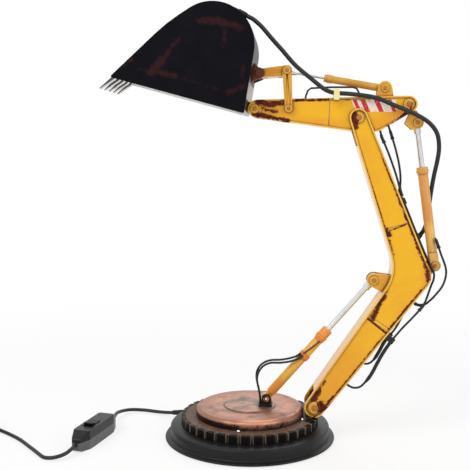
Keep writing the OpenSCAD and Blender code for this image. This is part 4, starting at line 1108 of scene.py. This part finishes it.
@dataclass
class Hoses(Assembly):
    """The thin hoses along the boom, at the elbow and at the lift cylinder, and the lamp lead."""

    d: float = 2.2
    lead_d: float = 4.4
    side: float = 10.8
    gap: float = 0.4
    meet: float = 79.2
    bend: Spot = (83.0, 0.7)
    side_foot: Point = (22.0, 0.0, -4.0)
    elbow: Spot = (166.0, 174.0)
    elbow_r: float = 16.5
    foot: tuple[Spot, float] = ((67.5, 36.5), 10.5)
    top: tuple[Spot, float] = ((108.0, 332.0), 9.0)
    socket: Point = (-34.3, 0.0, 400.1)
    socket_reach: float = 44.1
    socket_turn: float = 60.0
    socket_way: Point = (0.884, 0.0, -0.467)
    socket_l: float = 9.0

    @property
    def off(self) -> float:
        """The height of a hose's middle line over the boom's flange."""
        return self.d / 2 + self.gap

    def normal(self, end: tuple[Spot, float], turn: int) -> Spot:
        """The outward normal of the boom's back towards one of its ends.

        Args:
            end: that end's centre and radius.
            turn: -1 up the boom, 1 down it.

        Returns:
            The normal in the arm's plane.
        """
        (cx, cz), r = end
        dx, dz = cx - self.elbow[0], cz - self.elbow[1]
        length = math.hypot(dx, dz)
        s = (self.elbow_r - r) / length
        c = math.sqrt(1 - s * s)
        ux, uz = dx / length, dz / length
        return ux * s + turn * -uz * c, uz * s + turn * ux * c

    def back(self, s: float, off: float, y: float, up: bool) -> Point:
        """A place on the boom's back.

        Args:
            s: distance from the elbow.
            off: distance from the flange.
            y: across the boom.
            up: above the elbow or below it.

        Returns:
            The point in millimetres.
        """
        nx, nz = self.normal(self.top if up else self.foot, -1 if up else 1)
        turn = 1 if up else -1
        reach = self.elbow_r + off
        return self.elbow[0] + nx * reach - turn * nz * s, y, self.elbow[1] + nz * reach + turn * nx * s

    def boom_run(self, side: Side, hang: Sequence[Spot]) -> list[Vector]:
        """One hose down the boom's back.

        Args:
            side: the side of the boom that it runs on.
            hang: places below the elbow, as distance along the back and height off it.

        Returns:
            The path in millimetres.
        """
        y = side.value * self.side
        upper = ((78, self.off), (74, self.off), (30, self.off), (6, self.off + 0.6))
        points = [self.back(s, off, y, True) for s, off in upper]
        for a in (10, -10, -30):
            dx, dz = polar(self.elbow_r + self.off + 1.6, a)
            points.append((self.elbow[0] + dx, y, self.elbow[1] + dz))
        return smooth(points + [self.back(s, off, y, False) for s, off in hang])

    def sleeved(self, path: list[Vector], *jackets: Jacket) -> list[Length]:
        """A hose with sleeves or a sheath on it.

        Args:
            path: the hose's path.
            jackets: what is on it.

        Returns:
            The lengths of the hose and of its jackets.
        """
        made = [Length(path, self.d)]
        for jacket in jackets:
            end = jacket.start + jacket.length
            made.append(Length(part_of(path, jacket.start, jacket.length), self.d + jacket.over))
            made.append(Length(part_of(path, end, jacket.end_length), self.d + jacket.end_over))
        return made

    def boom_hoses(self) -> None:
        """Makes the two hoses down the boom's back, with a sheath on each, and the one at its side."""
        low = self.normal(self.foot, 1)
        foot = End(self.back(*self.side_foot, False), (-low[0], 0, -low[1]))
        near = self.sleeved(self.boom_run(Side.NEAR, NEAR_HANG), Jacket(117), NEAR_SHEATH)
        far = self.sleeved(self.boom_run(Side.FAR, FAR_HANG), FAR_SHEATH)
        side = self.sleeved(route(SIDE_TOP, SIDE_POINTS, foot, self.d), Jacket(2), Jacket(-12))
        tube = Tube("boom_hose_run", near + far + side)
        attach(self.settle(tube.piece, "hose_rubber", "cord", "boom_hoses"), "boom")

    def arm_hoses(self) -> None:
        """Makes the two hoses that hang between the arm and the boom."""
        bend = self.back(self.bend[0], self.off + self.bend[1], -self.side, True)
        near_end, far_end = (self.back(self.meet, self.off, y, True) for y in (-self.side, self.side))
        near = self.sleeved(smooth([*ARM_NEAR, bend, near_end]), Jacket(6), Jacket(-9))
        far = self.sleeved(smooth([*ARM_FAR, far_end]), Jacket(7), Jacket(-9))
        tube = Tube("arm_hose_run", near + far)
        self.settle(tube.piece, "hose_rubber", "cord", "arm_hoses")
        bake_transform(tube.piece)

    def lift_hoses(self) -> None:
        """Makes the two hoses from the lift cylinder down to the drum."""
        first = route(LIFT_A_TOP, LIFT_A, LIFT_A_FOOT, self.d)
        second = route(LIFT_B_TOP, LIFT_B, LIFT_B_FOOT, self.d)
        tube = Tube("lift_hose_run", [Length(first, self.d), Length(second, self.d)])
        self.settle(tube.piece, "hose_rubber", "cord", "lift_hoses")
        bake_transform(tube.piece)

    def lamp_leads(self) -> None:
        """Makes the lamp lead: from the shade to its clip on the arm, and on to the boom."""
        dx, dz = polar(self.socket_reach, self.socket_turn)
        out = Vector(self.socket_way).normalized()
        seat = Vector(self.socket) + Vector((dx, 0, dz)) + out * self.socket_l
        first = route(End(seat, out), LEAD_UPPER, CLIP, self.lead_d)
        upper = Tube("lamp_lead_upper", [Length(first, self.lead_d)], sides=18)
        self.settle(upper.piece, "cord_rubber", "cord", "lamp_lead_shade")
        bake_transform(upper.piece)
        second = route(CLIP, LEAD_LOWER, LEAD_FOOT, self.lead_d)
        lower = Tube("lamp_lead_lower", [Length(second, self.lead_d)], sides=18)
        self.settle(lower.piece, "cord_rubber", "cord", "lamp_lead_arm")
        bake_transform(lower.piece)

    def build(self) -> None:
        """Makes the hoses and leads, and hangs the hoses down the boom on the boom."""
        self.boom_hoses()
        self.arm_hoses()
        self.lift_hoses()
        self.lamp_leads()


class Head(Enum):
    """Shapes of a fastener's head: its sides, its radius and height from seat to top, and its shading."""

    HEXAGON = (6, ((1.0, 0.0), (1.0, 0.62), (0.86, 0.94), (0.5, 1.0)), False)
    ROUND = (16, ((1.0, 0.0), (1.0, 0.4), (0.88, 0.74), (0.62, 0.93), (0.3, 1.0)), True)


@dataclass(frozen=True)
class Stud:
    """A hexagon head on both outer faces of a pin: its body, place, face and size, in millimetres."""

    body: str
    at: Spot
    face: float
    r: float
    h: float = 1.0


STUDS = (
    Stud("boom", (126.5, 168.5), 8.6, 2.1),
    Stud("boom", (187, 184), 8.0, 1.9),
    Stud("boom", (108, 332), 15.5, 2.7),
    Stud("arm", (5, 341), 13.9, 2.0),
    Stud("arm", (39, 341), 16.1, 1.7),
    Stud("arm", (157.3, 345), 12.1, 2.5),
    Stud("arm", (166.5, 327), 8.4, 2.0),
    Stud("arm", (134, 361), 8.4, 1.9),
    Stud("rocker", (37, 378.5), 16.0, 1.7),
    Stud("base", (67.5, 36.5), 16.2, 2.9),
)
PIPE_RUN: tuple[Point, ...] = (
    (61.4, 6.1, 62), (64, 5.7, 66), (68, 5.6, 74), (73, 5.6, 86), (78, 5.6, 98), (82.6, 5.8, 104),
)


@dataclass
class Fasteners(Assembly):
    """Hexagon heads on the pins, bright screws beside the drum and the thin pipe on the lift cylinder."""

    sunk: float = 0.2
    screws: tuple[Point, ...] = ((-7.8, -57.9, 24.3), (55.0, -18.2, 24.3))
    screw_size: Spot = (1.9, 2.0)
    nut: Point = (17.5, -8.4, 42.5)
    nut_size: Spot = (1.4, 1.0)
    foot: Point = (17.5, 0.0, 42.5)
    eye: Point = (126.5, 0.0, 168.5)
    pipe_d: float = 1.4

    def turned(
        self, name: str, heads: Sequence[tuple[Vector, Vector, float, float]], head: Head
    ) -> bpy.types.Object:
        """Makes heads of one shape in one mesh.

        Args:
            name: the piece's name.
            heads: each head's seat, outward axis, radius and height, in millimetres.
            head: their shape.

        Returns:
            The piece.
        """
        sides, profile, rounded = head.value
        points: list[Vector] = []
        faces: list[list[int]] = []
        for seat, axis, r, h in heads:
            faces += skin(len(points), len(profile), sides)
            ways = circle(axis, axis.orthogonal().normalized(), sides)
            for wide, high in profile:
                centre = seat + axis * (h * high - self.sunk * (high == 0))
                points += [(centre + way * r * wide) * MM for way in ways]
        return new_piece(name, points, faces, [rounded] * len(faces))

    def pipe(self) -> list[Vector]:
        """The pipe's path on the lift barrel: distance along it, radius and turn from its upper side."""
        start = Vector(self.foot)
        axis = (Vector(self.eye) - start).normalized()
        upper, near = Vector((-axis.z, 0, axis.x)), Vector((0, -1, 0))
        path = []
        for s, r, turn in PIPE_RUN:
            c, n = polar(r, turn)
            path.append(start + axis * s + upper * c + near * n)
        return smooth(path, count=5)

    def build(self) -> None:
        """Makes every fastener and hangs it on its body."""
        for body in ("base", "boom", "arm", "rocker"):
            heads = []
            for stud in (stud for stud in STUDS if stud.body == body):
                for side in Side:
                    seat = Vector((stud.at[0], side.value * stud.face, stud.at[1]))
                    heads.append((seat, Vector((0, side.value, 0)), stud.r, stud.h))
            piece = self.turned(f"{body}_studs", heads, Head.HEXAGON)
            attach(self.settle(piece, "stud_paint", "pins"), body)
        bright = [(Vector(at), Vector((0, 0, 1)), *self.screw_size) for at in self.screws]
        bright.append((Vector(self.nut), Vector((0, -1, 0)), *self.nut_size))
        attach(self.settle(self.turned("base_screws", bright, Head.ROUND), "chrome", "steel"), "base")
        pipe = Tube("lift_pipe", [Length(self.pipe(), self.pipe_d)], sides=12)
        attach(self.settle(pipe.piece, "rust_paint", "rust"), "lift_barrel")


@dataclass
class Studio:
    """The camera at the photograph's angle, soft light, a pale floor and a white surround, in metres."""

    eye: Point = (0.0475, -0.838, 0.3005)
    yaw: float = 4.3
    pitch: float = 5.95
    focal: float = 820.0
    picture: float = 470.0
    sensor: float = 36.0
    aim: Point = (0.05, 0.0, 0.2)
    ambient: float = 0.55
    far_r: Spot = (0.35, 0.9)
    near_white: float = 0.72
    corners: tuple[Point, ...] = ((-12, -6, 0), (12, -6, 0), (12, 30, 0), (-12, 30, 0))

    def camera(self) -> None:
        """Places the camera."""
        data = bpy.data.cameras.new("camera")
        data.sensor_width = self.sensor
        data.lens = self.sensor * self.focal / self.picture
        data.clip_start, data.clip_end = 0.01, 100
        made = bpy.data.objects.new("camera", data)
        made.location = self.eye
        made.rotation_euler = (math.radians(90 - self.pitch), 0, math.radians(self.yaw))
        bpy.context.scene.collection.objects.link(made)
        bpy.context.scene.camera = made

    def floor(self) -> None:
        """Lays the floor: pale under the lamp, where it takes the shadow, and white further off."""
        made = new_piece("floor", self.corners, [[0, 1, 2, 3]], [False])
        sheet = Sheet("floor_white")
        far = sheet.step(sheet.radius(), *self.far_r)
        paper = sheet.mix(sheet.noise(40, 3, 0.55) * 0.1, "#F4F4F4", "#EFEFEE")
        plain = sheet.out(sheet.node("ShaderNodeBsdfDiffuse", {"Color": paper}))
        white = sheet.out(sheet.node("ShaderNodeEmission", {"Strength": 1.0}))
        share = sheet.seen() * (self.near_white + far * (1 - self.near_white))
        both = sheet.node("ShaderNodeMixShader", {0: share, 1: plain, 2: white})
        sheet.node("ShaderNodeOutputMaterial", {"Surface": sheet.out(both)})
        made.data.materials.append(sheet.owner)

    def surround(self) -> None:
        """A white world for the camera and reflections, and an even grey light on the lamp."""
        sheet = Sheet("surround", bpy.data.worlds)
        level = sheet.out(sheet.node("ShaderNodeMapRange", {"Value": sheet.seen(), "To Min": self.ambient}))
        light = sheet.node("ShaderNodeBackground", {"Color": (1, 1, 1, 1), "Strength": level})
        sheet.node("ShaderNodeOutputWorld", {"Surface": sheet.out(light)})
        bpy.context.scene.world = sheet.owner

    def lamp(self, name: str, place: Point, size: float, power: float) -> None:
        """Hangs one soft box that faces the lamp.

        Args:
            name: its name.
            place: where it hangs.
            size: its side.
            power: watts.
        """
        data = bpy.data.lights.new(name, "AREA")
        data.shape, data.size, data.energy = "SQUARE", size, power
        made = bpy.data.objects.new(name, data)
        made.location = place
        made.rotation_euler = (Vector(self.aim) - Vector(place)).to_track_quat("-Z", "Y").to_euler()
        bpy.context.scene.collection.objects.link(made)

    def build(self) -> None:
        """Sets the whole studio."""
        self.camera()
        self.floor()
        self.surround()
        self.lamp("key_box", (-0.9, -1.1, 1.5), size=1.1, power=17)
        self.lamp("fill_box", (1.3, -0.9, 0.9), size=1.2, power=8)
        self.lamp("back_box", (0.3, 1.4, 1.4), size=1.2, power=9)
        bpy.context.scene.view_settings.view_transform = "Standard"


CORD_WEAR = {
    "switch_black": ("cord_gland", "switch_upper", "switch_rocker", "plug_body"),
    "switch_grey": ("switch_lower",),
    "hose_rubber": ("cord_tie",),
    "chrome": ("plug_pins",),
}
BASE_WEAR = {
    "base_iron": ("base_casting",),
    "felt": ("base_pad",),
    "ring_iron": ("gear_ring",),
    "drum_copper": ("turret_drum",),
    "tooth_steel": ("stack_bolt",),
    "bracket_iron": ("lift_bracket", "boom_foot_bracket"),
    "pin_paint": ("base_pins",),
}
BOOM_WEAR = {
    "flange_paint": ("boom_band",),
    "boom_paint": ("boom_near_plate", "boom_far_plate"),
    "link_paint": ("boom_lugs",),
    "pin_paint": ("boom_pins",),
    "hose_rubber": ("boom_cable_fittings",),
}
CYLINDER_WEAR = {
    "barrel_paint": ("lift_barrel",),
    "gland_paint": ("lift_gland",),
    "orange_paint": ("lift_hose_band",),
    "arm_barrel_paint": ("arm_barrel", "arm_gland"),
    "stick_barrel_paint": ("bucket_barrel",),
    "chrome": ("lift_rod", "arm_rod", "bucket_rod"),
}
ARM_WEAR = {
    "arm_paint": ("arm_band", "arm_tip_boss"),
    "arm_plate_paint": ("arm_near_plate", "arm_far_plate"),
    "link_paint": ("arm_rear_lug", "bucket_clevis", "rocker_links", "bucket_link"),
    "pin_paint": ("arm_pins", "rocker_pin"),
    "hose_rubber": ("handrail",),
    "cream_plastic": ("cable_clip",),
}
SHADE_WEAR = {
    "shade_enamel": ("shade_near_side", "shade_far_side", "shade_wrap"),
    "tooth_steel": ("shade_teeth",),
    "bracket_iron": ("shade_hinge_bar",),
    "rust_paint": ("shade_link_bracket",),
    "white_plastic": ("lamp_holder",),
    "bulb_opal": ("bulb",),
    "switch_black": ("lead_elbow",),
}


def main() -> None:
    """Builds the studio, the cords and fasteners, and dresses every sub-assembly."""
    logging.basicConfig(level=logging.INFO, format="%(message)s")
    finishes = Finishes()
    Studio().build()
    cord = MainsCord(finishes, CORD_WEAR)
    cord.build()
    Hoses(finishes).build()
    Fasteners(finishes).build()
    cord.dress()
    for wear in (BASE_WEAR, BOOM_WEAR, CYLINDER_WEAR, ARM_WEAR, SHADE_WEAR):
        Assembly(finishes, wear).dress()


if __name__ == "__main__":
    main()
